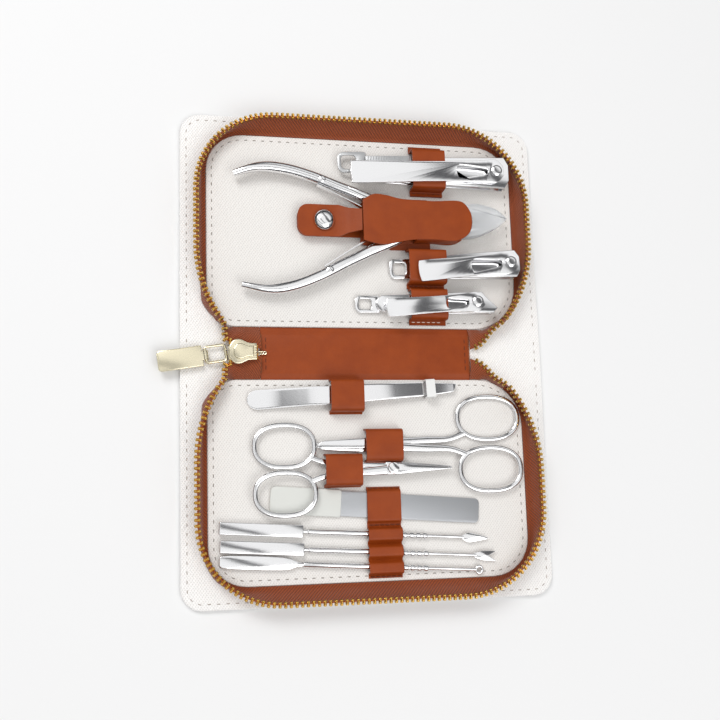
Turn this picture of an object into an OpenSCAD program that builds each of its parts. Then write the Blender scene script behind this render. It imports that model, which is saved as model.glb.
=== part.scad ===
// Manicure set in a zip-round case, lying open on its back.
// Millimetres. X runs along the spine, +Y is the lid half and -Y the base half, +Z is up.
// The origin is on the underside, at the middle of the spine.

/* [Case] */
// Length of the case along its spine
case_w = 160; // [156:1:172]
// Depth of each half, from its crease to its outer edge
half_d = 96; // [94:0.5:104]
// Width of the spine between the two creases
spine_w = 19; // [19:0.5:22]
// Thickness of the covered board
cover_t = 2; // [1.8:0.1:2.4]
// Radius of the cover's outer corners
cover_r = 9; // [4:0.5:14]
// Clearance round the crease bead
crease_gap = 0.06; // [0.04:0.01:0.12]
// Thickness of a padded inner panel
panel_t = 1.4; // [1:0.1:1.8]
// Border of cover seen at each side of a panel
panel_side = 11; // [9:0.5:13]
// Border of cover seen along a panel's outer edge
panel_border = 9; // [8:0.5:12]
// Gap from a crease to its panel
panel_gap = 1.9; // [1.6:0.1:3]
// Radius of a panel's outer corners
panel_r = 16; // [12:1:20]
// Length of the leather band on the spine
band_w = 93; // [70:1:94]
// Thickness of the leather band and of the straps
leather_t = 0.8; // [0.6:0.1:0.9]

/* [Layout] */
// Distance from the case's right edge to the large clipper's pin
large_inset = 20; // [19:0.5:24]
// Distance from the case's right edge to the medium clipper's pin
medium_inset = 15.6; // [15:0.2:20]
// Distance from the case's right edge to the small clipper's pin
small_inset = 31.4; // [29:0.2:34]
// Distance from the case's right edge to the blunt scissors' screw
blunt_inset = 75.4; // [74:0.2:78]
// Distance from the case's right edge to the pointed scissors' screw
pointed_inset = 71.4; // [70:0.2:74]
// Distance from the case's left edge to the tweezers' round end
tweezer_inset = 27.4; // [26:0.2:30]
// Distance from the case's left edge to the nail file
file_inset = 36.4; // [34:0.2:40]
// Distance from the case's left edge to the tool handles
tool_inset = 15.4; // [14:0.2:18]

/* [Zip] */
// Thickness of the zip tape
tape_t = 0.6; // [0.4:0.1:0.9]
// Inset of the teeth from the cover's left edge
zip_left = 6.5; // [5:0.5:9]
// Inset of the teeth from the cover's right edge
zip_right = 5.5; // [5:0.5:9]
// Inset of the teeth from the cover's outer edge
zip_outer = 1.6; // [1:0.2:4]
// Radius of the zip's turn at the left corners
zip_turn_left = 34; // [28:1:38]
// Radius of the zip's turn at the right corners
zip_turn_right = 36; // [30:1:40]
// Length of one tooth along the zip
tooth_l = 1.3; // [1:0.1:1.5]
// Width of one tooth across the tape
tooth_w = 2.6; // [2:0.1:3.2]
// Height of one tooth
tooth_h = 2.2; // [1.8:0.1:2.6]
// Distance from one tooth to the next
tooth_pitch = 2.3; // [2.1:0.1:2.8]
// Length of the slider
slider_l = 11.6; // [10:0.2:13]
// Width of the slider's mouth
slider_w = 10.4; // [9:0.2:11]
// Length of the pull tab
tab_l = 20; // [18:0.5:23]
// Width of the pull tab
tab_w = 8.8; // [7:0.2:9]
// Tilt of the pull from the spine's line
pull_tilt = 8.5; // [0:0.5:9]

/* [Nippers] */
// Distance from the nippers' pivot to the tip of the jaws
nip_jaw_l = 28.5; // [26:0.5:29]
// Width of a handle at its middle
nip_handle_w = 4.8; // [4:0.2:5.4]
// Thickness of one half at the pivot
nip_t = 2.6; // [2.2:0.1:2.6]
// Diameter of the pivot disc
nip_disc_d = 13; // [11:0.5:14]
// Diameter of the pivot pin
nip_pin_d = 4; // [3:0.2:5]
// Diameter of the snap cap
snap_d = 9.2; // [7:0.2:11]

/* [Clippers] */
// Length of the large clipper, without its ring
large_l = 70.5; // [66:0.5:72]
// Width of the large clipper
large_w = 14.4; // [13:0.2:14.8]
// Length of the medium clipper
medium_l = 52.5; // [49:0.5:54]
// Width of the medium clipper
medium_w = 12.4; // [11:0.2:13]
// Length of the small clipper
small_l = 52; // [48:0.5:53]
// Width of the small clipper
small_w = 9.6; // [8.6:0.2:10]
// Thickness of a clipper's blade plates
blade_t = 1.2; // [0.9:0.1:1.3]
// Diameter of a clipper's pin
clip_pin_d = 3; // [2.4:0.1:3.4]

/* [Scissors, tweezers, file and tools] */
// Width of a scissors ring's wire
ring_wire = 2.2; // [1.6:0.1:2.6]
// Thickness of one scissors blade
scissor_t = 1.5; // [1.2:0.1:1.6]
// Diameter of a scissors screw
screw_d = 3; // [2.4:0.2:3.6]
// Length of the tweezers
tweezer_l = 91.5; // [86:0.5:93]
// Width of the tweezers at their round end
tweezer_w = 8.2; // [7:0.2:9]
// Thickness of a tweezers arm
tweezer_t = 1; // [0.8:0.1:1.2]
// Length of the nail file's handle
file_handle_l = 30; // [26:1:32]
// Length of the nail file's blade outside the handle
file_blade_l = 60.5; // [54:0.5:62]
// Width of the nail file
file_w = 11.4; // [10:0.2:12]
// Width of a double-ended tool's square handle
tool_w = 5.2; // [4.4:0.1:5.6]
// Height of a double-ended tool
tool_h = 2.6; // [2.2:0.1:2.8]

/* [Hidden] */
$fn = 48;

// Colours, as the photo shows them
white_leather = "#efebe8";
brown_leather = "#a04e26";
brown_tape = "#8a4020";
gold = "#c9a55a";
pale_gold = "#d8d0a8";
chrome = "#cfd2d4";
clear_plastic = "#e4e6e8";

// Levels that the pieces share
crease = spine_w / 2;
panel_top = cover_t + panel_t;
seat = panel_top + 0.1;
closed_t = spine_w + cover_t;
teeth_top = closed_t / 2 - 0.1;
tape_top = teeth_top - tooth_h / 2;
panel_w = case_w - 2 * panel_side;
panel_in = crease + panel_gap;
panel_out = crease + half_d - panel_border;
zip_l = -case_w / 2 + zip_left;
zip_r = case_w / 2 - zip_right;
zip_o = crease + half_d - zip_outer;
// Where each half's zip wall starts, clear of the folded spine and its pull
wall_start = crease + 5;
// Gap between a panel and the edge of the zip tape
tape_gap = 0.1;
// Radii of the panel's corners beside the spine
panel_in_left = 12;
panel_in_right = 20;
// Height over which the zip swings in towards the spine, and how far it swings
swing_left = [31, 9.4];
swing_right = [36, 13.4];

function arc(c, r, a0, a1, n) = [for (i = [0:n]) c + r * [cos(a0 + (a1 - a0) * i / n),
    sin(a0 + (a1 - a0) * i / n)]];
function swing_r(s) = (s[0] * s[0] + s[1] * s[1]) / (2 * s[1]);
function swing_a(s) = asin(s[0] / swing_r(s));
function unit(v) = v / norm(v);
function side(v) = [-v[1], v[0]];
function mix(a, b, t) = a + (b - a) * t;

// The line of the teeth in the lid half, from the left end to the right end
zip_line = concat(
    arc([zip_l + swing_r(swing_left), wall_start + swing_left[0]], swing_r(swing_left),
        180 + swing_a(swing_left), 180, 8),
    arc([zip_l + zip_turn_left, zip_o - zip_turn_left], zip_turn_left, 180, 90, 14),
    arc([zip_r - zip_turn_right, zip_o - zip_turn_right], zip_turn_right, 90, 0, 16),
    arc([zip_r - swing_r(swing_right), wall_start + swing_right[0]], swing_r(swing_right),
        0, -swing_a(swing_right), 9));

function along(path, i) = unit(path[min(i + 1, len(path) - 1)] - path[max(i - 1, 0)]);
function run(path) = [for (i = 0, s = 0; i < len(path);
    s = s + (i < len(path) - 1 ? norm(path[i + 1] - path[i]) : 0), i = i + 1) s];
function at(path, lengths, s, i = 0) = i >= len(path) - 2 || lengths[i + 1] > s
    ? [mix(path[i], path[i + 1], (s - lengths[i]) / (lengths[i + 1] - lengths[i])),
        unit(path[i + 1] - path[i])]
    : at(path, lengths, s, i + 1);

// A flat bar of height h round a line of points, each with its own width
function bar(points, widths) = let (n = len(points)) concat(
    [for (i = [0:n - 1]) points[i] + side(along(points, i)) * widths[i] / 2],
    [for (i = [n - 1:-1:0]) points[i] - side(along(points, i)) * widths[i] / 2]);
function smooth(p, n = 4) = [for (i = [0:len(p) - 2], k = [0:n - (i < len(p) - 2 ? 1 : 0)])
    let (a = p[max(i - 1, 0)], b = p[i], c = p[i + 1], d = p[min(i + 2, len(p) - 1)], t = k / n)
    0.5 * (2 * b + (c - a) * t + (2 * a - 5 * b + 4 * c - d) * t * t + (3 * b - 3 * c + d - a) * t * t *
        t)];
function oval(c, rx, ry, n = 40) = [for (i = [0:n - 1]) c + [rx * cos(360 * i / n), ry * sin(360 * i / n)]];
module slab(points, z, h) translate([0, 0, z]) linear_extrude(h) polygon(points);
module disc(c, z, d, h) translate([c[0], c[1], z]) cylinder(d = d, h = h);
module block(low, high) translate(low) cube(high - low);
module base_side() mirror([0, 1, 0]) children();

// Rectangle with its own radius at each corner: lower left, lower right, upper right, upper left
function round_rect(low, high, r) = concat(
    arc([low[0] + r[0], low[1] + r[0]], r[0], 180, 270, 8), arc([high[0] - r[1], low[1] + r[1]], r[1],
        270, 360, 8),
    arc([high[0] - r[2], high[1] - r[2]], r[2], 0, 90, 8), arc([low[0] + r[3], high[1] - r[3]], r[3], 90,
        180, 8));

// One board of the cover, with a groove for the spine's bead
module half_cover() color(white_leather) difference() {
    slab(round_rect([-case_w / 2, crease], [case_w / 2, crease + half_d], [0.01, 0.01, cover_r, cover_r]),
        0, cover_t);
    translate([0, crease, cover_t / 2]) rotate([0, 90, 0])
        cylinder(r = cover_t / 2 + crease_gap, h = case_w + 2, center = true);
    block([-case_w / 2 - 1, crease - 1, cover_t / 2], [case_w / 2 + 1, crease + cover_t / 2 + crease_gap,
        cover_t + 1]);
}
module spine_cover() color(white_leather) union() {
    block([-case_w / 2, -crease, 0], [case_w / 2, crease, cover_t]);
    for (s = [-1, 1]) translate([0, s * crease, cover_t / 2]) rotate([0, 90, 0])
        cylinder(r = cover_t / 2, h = case_w, center = true);
}
module half_panel() color(white_leather)
    slab(round_rect([-panel_w / 2, panel_in], [panel_w / 2, panel_out],
        [panel_in_left, panel_in_right, panel_r, panel_r]), cover_t, panel_t);
// The band stops short of the creases, so that it clears the panels when the case shuts
module spine_band() color(brown_leather)
    block([-band_w / 2, -crease + 1.1, cover_t], [band_w / 2, crease - 1.1, cover_t + leather_t]);

// Room for a panel, wider and higher than it by gap
module panel_room(gap) slab(round_rect([-panel_w / 2 - gap, panel_in - gap], [panel_w / 2 + gap,
    panel_out + gap],
    [panel_in_left + gap, panel_in_right + gap, panel_r + gap, panel_r + gap]), cover_t - 1,
        panel_t + 1 + gap);
// Zip tape: a flange beside the panel, and a wall that stands on it under the teeth
module half_tape() color(brown_tape) difference() {
    union() {
        slab(bar(zip_line, [for (p = zip_line) tape_t]), cover_t, tape_top - cover_t);
        slab(zip_line, cover_t, tape_t);
    }
    panel_room(tape_gap);
}
module tooth(p, dir, top) translate([p[0], p[1], top - tooth_h])
    rotate(atan2(dir[1], dir[0])) translate([-tooth_l / 2, -tooth_w / 2, 0]) cube([tooth_l, tooth_w,
        tooth_h]);
zip_lengths = run(zip_line);
module half_teeth() color(gold) for (s = [tooth_l:tooth_pitch:zip_lengths[len(zip_line) - 1] - tooth_l])
    let (q = at(zip_line, zip_lengths, s)) tooth(q[0], q[1], teeth_top);

// Slider: two plates on a wedge, its mouth towards the left edge of the case
slider_x = -48.4;
plate_z = cover_t + 1;
channel_h = tooth_h + 0.4;
bell = smooth([[0, slider_w * 0.34], [-0.3 * slider_l, slider_w * 0.36], [-0.6 * slider_l, slider_w / 2],
    [-0.85 * slider_l, slider_w * 0.46], [-slider_l, slider_w * 0.22]], 3);
bell_outline = concat(bell, [for (i = [len(bell) - 1:-1:0]) [bell[i][0], -bell[i][1]]]);
module zip_slider() color(pale_gold) translate([slider_x, 0, 0]) {
    slab(bell_outline, plate_z, 0.9);
    slab(bell_outline, plate_z + 0.9 + channel_h, 1.1);
    translate([-slider_l + 2.2, 0, plate_z]) cylinder(d = 1.6, h = channel_h + 1.5);
    slab([for (p = bell_outline) [p[0] * 0.7 - 1.6, p[1] * 0.6]], plate_z + 1.9 + channel_h, 0.7);
}
// Gap between a half's tape and the spine's
row_gap = 0.3;
// Rows of teeth in the spine's own frame, from a half's wall down into the slider and the band
channel_top = plate_z + 0.7 + channel_h;
left_row = [[zip_line[0][0], wall_start - row_gap, teeth_top], [-62, crease + 1.4, teeth_top - 1.8],
    [-60.8, 5, channel_top], [-57.6, 3.2, channel_top], [-54, 1.9, channel_top],
    [slider_x + 2, 1.6, channel_top]];
zip_end = zip_line[len(zip_line) - 1];
right_row = [[zip_end[0], wall_start - row_gap, teeth_top], [zip_end[0] - 5, crease + 0.6, teeth_top - 2.6],
    [zip_end[0] - 9.5, 4.8, teeth_top - 4.6], [band_w / 2 + 1.2, 2, cover_t + tooth_h + 0.6]];
module row_teeth(row) for (s = [tooth_pitch * 0.6:tooth_pitch:run(row)[len(row) - 1] - 0.6])
    let (q = at(row, run(row), s)) tooth(q[0], q[1], q[0][2]);
module spine_zip_teeth() color(gold) for (m = [0, 1]) mirror([0, m, 0]) {
    row_teeth(left_row);
    row_teeth(right_row);
}
// Tape under those rows: a wall whose top falls with the teeth, and a sheet from the panel's edge up to them
module across(x, profile) translate([x[0], 0, 0]) rotate([90, 0,
    90]) linear_extrude(x[1] - x[0]) polygon(profile);
module row_tape(row, x, floor_outline, sheet_line) union() {
    drop = tooth_h / 2;
    difference() {
        intersection() {
            slab(bar([for (q = row) [q[0], q[1]]], [for (q = row) tape_t]), cover_t + 0.05, teeth_top);
            across(x, concat([[row[len(row) - 1][1] - 2, 0], [wall_start + 2, 0], [wall_start + 2,
                tape_top]],
                [for (q = row) [q[1], q[2] - drop]], [[row[len(row) - 1][1] - 2,
                    row[len(row) - 1][2] - drop]]));
        }
        panel_room(tape_gap);
    }
    intersection() {
        slab(floor_outline, cover_t + 0.05, teeth_top);
        across(x, bar(sheet_line, [for (q = sheet_line) tape_t]));
    }
}
edge_y = panel_in - 0.5;
edge_z = cover_t + tape_t / 2 + 0.05;
module spine_zip_tape() color(brown_tape) for (m = [0, 1]) mirror([0, m, 0]) {
    row_tape([for (i = [0:2]) left_row[i]], [-70, -40],
        [[-60.9, edge_y], [-60.6, 5.2], [-57.6, 3.4], [-54, 2.1], [-47, 1.8], [-47, edge_y]],
        [[edge_y + 0.5, edge_z], [8, edge_z + 1.8], [5, channel_top - 1.2], [1, channel_top - 1.1]]);
    row_tape(right_row, [40, 70],
        [[46.9, edge_y], [46.9, 2.2], [48, 2.2], [zip_end[0] - 9.4, 5], [zip_end[0] - 5, edge_y]],
        [[edge_y + 0.5, edge_z], [5, edge_z + 1.1], [1, edge_z + 1.3]]);
}

// Pull: a wire link through the slider's mouth, and a flat tab that hangs on the link
pull_x = slider_x - slider_l - 1.2;
pull_z = cover_t + 2.2;
link_d = 1.2;
link_l = 8.4;
module on_pull() translate([pull_x, 0, pull_z]) rotate(pull_tilt) children();
module zip_pull_link() color(pale_gold) on_pull() {
    for (s = [-1, 1]) translate([-link_l, s * (tab_w / 2 - 1), 0]) rotate([0, 90, 0]) cylinder(d = link_d,
        h = link_l + link_d / 2);
    for (x = [0, -link_l]) translate([x, 0, 0]) rotate([90, 0, 0]) cylinder(d = link_d,
        h = tab_w - 2 + link_d, center = true);
}
module zip_pull_tab() color(pale_gold) on_pull() translate([-link_l, 0, 0]) difference() {
    union() {
        translate([-tab_l, 0, -0.8]) linear_extrude(1.6) polygon([[0.6, -tab_w / 2], [tab_l - 1.4,
            -tab_w / 2],
            [tab_l - 1.4, tab_w / 2], [0.6, tab_w / 2], [0, tab_w / 2 - 0.6], [0, 0.6 - tab_w / 2]]);
        translate([-1.6, -(tab_w - 5) / 2, -0.8]) cube([3, tab_w - 5, 1.6]);
        rotate([90, 0, 0]) cylinder(d = link_d + 1.2, h = tab_w - 5, center = true);
    }
    rotate([90, 0, 0]) cylinder(d = link_d + 0.1, h = tab_w * 2, center = true);
    for (s = [-1, 1]) translate([0, s * (tab_w / 2 - 1), 0]) cube([2.6, 2 + link_d, 4], center = true);
}

// Straps: a leather strip over a tool, with a flat foot at each side, stitched to the panel
module strap(x, y, top) color(brown_leather) let (t = leather_t, z0 = panel_top + t / 2,
    line = [[y[0], z0], [y[1], z0], [y[1] + 0.9, top - t / 2], [y[2] - 0.9, top - t / 2], [y[2], z0],
        [y[3], z0]])
    translate([x[0], 0, 0]) rotate([90, 0, 90]) linear_extrude(x[1] - x[0]) polygon(bar(line,
        [for (p = line) t]));

// Nippers, lying in their leather sheath; the local X axis runs from the pivot to the tip
nip_at = [29.7, 58.6];
nip_turn = 3.8;
nip_z = seat + leather_t * 2 + 0.2;
handle_line = smooth([[-86, 24.4], [-75, 27], [-64, 26], [-52, 22.2], [-40, 16.9], [-28, 11.8], [-14,
    5.6], [-4, 1.2]], 3);
handle_widths = [for (p = handle_line) mix(2.6, nip_handle_w, min(1, (p[0] + 87) / 18)) + max(0,
    (p[0] + 30) * 0.1)];
mid_z = nip_z + nip_t + 0.03;
module at_nip() translate([nip_at[0], nip_at[1], 0]) rotate(nip_turn) children();
module nipper_half(z) color(chrome) difference() {
    union() {
        disc([0, 0], z, nip_disc_d, nip_t);
        slab(bar(handle_line, handle_widths), z, nip_t);
        intersection() {
            slab(bar(handle_line, handle_widths), mid_z - 2.2, 4.4);
            block([-100, -50, 0], [-14, 50, 30]);
        }
        slab([[0, -5.6], [9, -5.8], [11, -5.6], [11, -1], [7.6, -0.8], [0, -0.3]], z, nip_t);
        slab([[7.6, -5.8], [18, -5.2], [nip_jaw_l - 1, -3.2], [nip_jaw_l, -2.3], [7.6, -0.8]],
            mid_z - 2.2, 4.4);
    }
    disc([0, 0], z - 1, nip_pin_d + 0.1, nip_t + 2);
}
module nipper_upper_half() at_nip() nipper_half(nip_z);
module nipper_lower_half() at_nip() mirror([0, 1, 0]) nipper_half(mid_z + 0.03);
module nipper_pivot_pin() color(chrome) at_nip() disc([0, 0], nip_z, nip_pin_d, 2 * nip_t + 0.06);
leaf_line = [[-50, 18.3], [-40, 12.6], [-30, 7.2], [-22, 3.2], [-17, 1.7]];
module leaf() {
    slab(bar(leaf_line, [for (p = leaf_line) 0.6]), mid_z - 1.4, 2.8);
    disc([-48, 20.3], mid_z + 2.2, 3.2, 0.7);
}
module nipper_upper_spring() color(chrome) at_nip() leaf();
module nipper_lower_spring() color(chrome) at_nip() mirror([0, 1, 0]) leaf();

// Sheath: a bottom sheet under the nippers and a top sheet over them, joined along both sides
sheath_x = [-2, 47.5];
sheath_top = mid_z + nip_t + 0.06 + 0.5 + leather_t;
sheath_bottom = panel_top + leather_t + 0.05;
sheath_outline = smooth([[sheath_x[0], 66.6], [3, 69.4], [9, 69], [16, 67.6], [30, 67.2], [41, 67.8], [45,
    66], [sheath_x[1], 61],
    [46.4, 53.6], [40, 49.4], [30, 49.6], [20, 49.2], [9, 47], [4, 47], [sheath_x[0], 48.6]], 3);
module nipper_sheath() color(brown_leather) {
    slab(sheath_outline, sheath_top - leather_t, leather_t);
    slab(concat(sheath_outline, [[-30, 51.4], [-30, 64.4]]), sheath_bottom, leather_t - 0.1);
    for (line = [[[17.5, 67.2], [30, 66.9], [41, 67.3]], [[22, 49.6], [30, 49.9], [41, 49.8]]])
        slab(bar(line, [for (p = line) leather_t]), sheath_bottom, sheath_top - sheath_bottom);
}
// Flap that passes between the handles and snaps shut
snap_at = [-18.5, 58];
flap_z = sheath_bottom + 3;
flap_outline = [[-30, 50.8], [-12, 50.8], [-8, 52.4], [sheath_x[0], 53.2], [sheath_x[0], 62.4], [-8,
    63.6], [-12, 65], [-30, 65]];
flap_line = [[-30, flap_z + leather_t / 2], [-14, flap_z + leather_t / 2], [-8, flap_z + 1.6],
    [sheath_x[0] - 0.4, sheath_top - leather_t / 2]];
module nipper_flap() color(brown_leather) intersection() {
    rotate([90, 0, 0]) translate([0, 0, -70]) linear_extrude(25) polygon(bar(flap_line,
        [for (p = flap_line) leather_t]));
    slab(flap_outline, panel_top, 12);
}
module nipper_snap_cap() color(chrome) {
    disc(snap_at, flap_z + leather_t, snap_d, 1);
    translate([snap_at[0], snap_at[1], flap_z + leather_t + 1]) cylinder(d1 = snap_d, d2 = snap_d * 0.55,
        h = 1.1);
}
module nipper_snap_socket() color(chrome) disc(snap_at, sheath_bottom + leather_t - 0.1, snap_d * 0.8, 1.8);
// Clear guard over the jaws, held in the sheath's end
guard_x = [sheath_x[1] - 5, nip_at[0] + nip_jaw_l + 0.6, nip_at[0] + nip_jaw_l + 5.6];
module nipper_tip_guard() color(clear_plastic) difference() {
    slab([[guard_x[0], 51.6], [guard_x[0] + 8, 52.4], [guard_x[1], 56], [guard_x[2], 59.8], [guard_x[2],
        61.6],
        [guard_x[1], 65.3], [guard_x[0] + 8, 67.2], [guard_x[0], 66.2]], mid_z - 2.85, 5.7);
    slab([[guard_x[0] - 1, 52.2], [guard_x[0] + 8, 53.1], [guard_x[1], 56.8], [guard_x[2] - 1, 60.2],
        [guard_x[2] - 1, 61.2],
        [guard_x[1], 64.5], [guard_x[0] + 8, 66.5], [guard_x[0] - 1, 65.6]], mid_z - 2.4, 4.8);
}
module nipper_strap() color(brown_leather) block([11, 46.4, panel_top], [30, 70, panel_top + leather_t]);

// Nail clippers. The local origin is on the pin's line; the blades run back along -X, the jaws point along +X
large_at = [case_w / 2 - large_inset, 82.4];
medium_at = [case_w / 2 - medium_inset, 40.2];
small_at = [case_w / 2 - small_inset, 22.4];
large_turn = 0;
medium_turn = 3;
small_turn = 1;
lever_turn = [3, 4, 4];
jaw_f = [6.8, 5.6, 5];
jaw_gap = 1.4;
blade_z = seat + 0.5;
lever_z = [teeth_top + 0.5, teeth_top + 0.9, teeth_top - 0.8];
spread = [4.6, 4.2, 3.4];
lever_t = 1.5;
rivet_d = 2.2;
module at_clip(p, turn) translate([p[0], p[1], 0]) rotate(turn) children();
// Outline of a blade: straight sides, a round back, and a front edge that may slant
function blade_outline(l, w, f, slant) = concat([[f - slant - 2, -w / 2], [f - slant, -w / 4], [f, w / 4],
    [f - 2, w / 2]],
    arc([-l + w * 0.62, 0], w * 0.38, 90, 270, 10));
module lower_blade(l, w, f, gap, slant) color(chrome) difference() {
    union() {
        slab(blade_outline(l, w, f, slant), blade_z, blade_t);
        slab([[f - slant - 2, -w / 2], [f - slant, -w / 4], [f, w / 4], [f - 2, w / 2], [f - 3.6, w / 2],
            [f - slant - 3.6, -w / 2]],
            blade_z, blade_t + (gap - jaw_gap) / 2);
    }
    disc([0, 0], blade_z - 1, clip_pin_d + 0.1, blade_t + 2);
    disc([-l + w * 0.62 + 4, 0], blade_z - 1, rivet_d, blade_t + 2);
}
module upper_blade(l, w, f, gap, slant) color(chrome) let (rise = asin(gap / l)) difference() {
    union() {
        translate([-l, 0, blade_z + blade_t + 0.05]) rotate([0, -rise, 0]) translate([l, 0, 0])
            slab(blade_outline(l, w, f, slant), 0, blade_t);
        slab([[f - slant - 2, -w / 2], [f - slant, -w / 4], [f, w / 4], [f - 2, w / 2], [f - 3.6, w / 2],
            [f - slant - 3.6, -w / 2]],
            blade_z + blade_t + (gap + jaw_gap) / 2, gap * (l + f) / l - (gap + jaw_gap) / 2 + 0.6);
    }
    disc([0, 0], blade_z - 1, clip_pin_d + 1.2, gap + 8);
    disc([-l + w * 0.62 + 4, 0], blade_z, 3.4, gap + 4);
}
module clip_rivet(l, w, h) color(chrome) disc([-l + w * 0.62 + 4, 0], blade_z - 0.4, rivet_d,
    2 * blade_t + h);
module clip_pin(top) color(chrome) {
    disc([0, 0], seat, clip_pin_d + 1.8, 0.45);
    disc([0, 0], seat, clip_pin_d, top + lever_t + 0.2 - seat);
    disc([0, 0], top + lever_t + 0.15, clip_pin_d + 1.8, 1);
}
// Lever with a teardrop window behind the pin
module clip_lever(l, w, z, turn) color(chrome) rotate(turn) difference() {
    slab(smooth([[3.4, -w * 0.2], [0, -w / 2], [-8, -w * 0.46], [-l * 0.5, -w * 0.44], [-l + 3,
        -w * 0.48], [-l, -w * 0.36],
        [-l, w * 0.36], [-l + 3, w * 0.48], [-l * 0.5, w * 0.44], [-8, w * 0.46], [0, w / 2], [3.4,
            w * 0.2], [3.4, -w * 0.2]], 3), z, lever_t);
    disc([0, 0], z - 1, clip_pin_d + 0.1, lever_t + 2);
    slab([[-3.6, -w * 0.1], [-16, -w * 0.3], [-18, -w * 0.16], [-18, w * 0.16], [-16, w * 0.3], [-3.6,
        w * 0.1]], z - 1, lever_t + 2);
}
// Loop for a key ring at the back of a blade
module back_loop(l, w, z) color(chrome) difference() {
    slab(round_rect([-l - 7, -w * 0.36], [-l + 4, w * 0.36], [2, 0.01, 0.01, 2]), z, blade_t);
    slab(round_rect([-l - 5.2, -w * 0.22], [-l + 0.4, w * 0.22], [1.2, 1.2, 1.2, 1.2]), z - 1, blade_t + 2);
}
large_gap = spread[0] - blade_t;
medium_gap = spread[1] - blade_t;
small_gap = spread[2] - blade_t;
large_back = large_l - jaw_f[0];
medium_back = medium_l - jaw_f[1];
small_back = small_l - jaw_f[2];
module large_clipper_lower_blade() at_clip(large_at, large_turn) lower_blade(large_back, large_w,
    jaw_f[0], large_gap, 0);
module large_clipper_upper_blade() at_clip(large_at, large_turn) upper_blade(large_back, large_w,
    jaw_f[0], large_gap, 0);
module large_clipper_rivet() at_clip(large_at, large_turn) clip_rivet(large_back, large_w, 2.6);
module large_clipper_pin() at_clip(large_at, large_turn) clip_pin(lever_z[0]);
module large_clipper_lever() at_clip(large_at, large_turn) clip_lever(large_back + 3, large_w * 0.72,
    lever_z[0], lever_turn[0]);
// Swing-out nail file of the large clipper, with its key-ring loop
module large_clipper_file() color(chrome) at_clip(large_at, large_turn) difference() {
    translate([-large_back, 0, blade_z + blade_t + 0.05]) rotate([0, -asin(large_gap / large_back), 0])
        translate([4, large_w * 0.2, blade_t + 0.05]) rotate(2) linear_extrude(0.9) difference() {
            union() {
                translate([0, -2.6]) square([26, 5.4]);
                translate([-12, -4.8]) polygon(round_rect([0, 0], [13, 9.6], [2.4, 0.01, 0.01, 2.4]));
            }
            translate([-10.4, -3.2]) polygon(round_rect([0, 0], [6.8, 6.4], [1.6, 1.6, 1.6, 1.6]));
        }
    disc([-large_back + large_w * 0.62 + 4, 0], blade_z, rivet_d + 0.3, 8);
}
module medium_clipper_lower_blade() at_clip(medium_at, medium_turn) union() {
    lower_blade(medium_back, medium_w, jaw_f[1], medium_gap, 0);
    back_loop(medium_back, medium_w, blade_z);
}
module medium_clipper_upper_blade() at_clip(medium_at, medium_turn) upper_blade(medium_back, medium_w,
    jaw_f[1], medium_gap, 0);
module medium_clipper_rivet() at_clip(medium_at, medium_turn) clip_rivet(medium_back, medium_w, 1.2);
module medium_clipper_pin() at_clip(medium_at, medium_turn) clip_pin(lever_z[1]);
module medium_clipper_lever() at_clip(medium_at, medium_turn) clip_lever(medium_back - 4.5, medium_w * 0.78,
    lever_z[1], lever_turn[1]);
module small_clipper_lower_blade() at_clip(small_at, small_turn) union() {
    lower_blade(small_back, small_w, jaw_f[2], small_gap, -5);
    back_loop(small_back, small_w * 1.1, blade_z);
}
module small_clipper_upper_blade() at_clip(small_at, small_turn) upper_blade(small_back, small_w,
    jaw_f[2], small_gap, -5);
module small_clipper_rivet() at_clip(small_at, small_turn) clip_rivet(small_back, small_w, 1.2);
module small_clipper_pin() at_clip(small_at, small_turn) clip_pin(lever_z[2]);
module small_clipper_lever() at_clip(small_at, small_turn) clip_lever(small_back - 6, small_w * 0.86,
    lever_z[2], lever_turn[2]);
module large_clipper_strap() strap([large_at[0] - 38.5, large_at[0] - 23.5], [71.4, 74.2, 91.4, 94.6],
    blade_z + 2 * blade_t + 4);
module medium_clipper_strap() strap([medium_at[0] - 45.9, medium_at[0] - 28.9], [28.8, 31.2, 45.6, 46.2],
    blade_z + 2 * blade_t + 3.4);
module small_clipper_strap() strap([small_at[0] - 29.6, small_at[0] - 13.1], [12.6, 15.2, 27.9, 28.7],
    blade_z + 2 * blade_t + 2.6);

// Scissors. One half: blade, shank and finger ring, with the screw's hole
module scissor_half(blade, shank, widths, ring, outer, z) color(chrome) difference() {
    union() {
        slab(blade, z, scissor_t);
        slab(bar(shank, widths), z, scissor_t);
        difference() {
            slab(oval(ring, outer[0], outer[1]), z, ring_wire);
            slab(oval(ring, outer[0] - ring_wire, outer[1] - ring_wire), z - 1, ring_wire + 2);
        }
    }
    disc([0, 0], z - 1, screw_d + 0.1, scissor_t + 2);
}
blunt_at = [case_w / 2 - blunt_inset, -39.6];
pointed_at = [case_w / 2 - pointed_inset, -49.6];
scissor_z = seat + 0.2;
blunt_ring = [14.9, 10.4];
pointed_ring = [13.7, 9.9];
blunt_fixed_z = scissor_z;
blunt_moving_z = scissor_z + scissor_t + 0.03;
pointed_z = scissor_z + 1.3;
module blunt_half(z) scissor_half(smooth([[3, -3], [-6, -2.9], [-24, -1.9], [-27, -0.9], [-28, 0.6], [-26,
    1.2], [-6, 1.4], [3, 1.6]], 3),
    smooth([[-2, -0.4], [8, 1], [20, 1.8], [30, 2.2], [37, 4.6]], 3), [for (i = [0:16]) mix(4.4, 2.6,
        min(1, i / 12))],
    [48, 11.2], blunt_ring, z);
module blunt_scissors_fixed_half() translate([blunt_at[0], blunt_at[1], 0]) blunt_half(blunt_fixed_z);
module blunt_scissors_moving_half() translate([blunt_at[0], blunt_at[1], 0]) mirror([0, 1,
    0]) blunt_half(blunt_moving_z);
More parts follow.
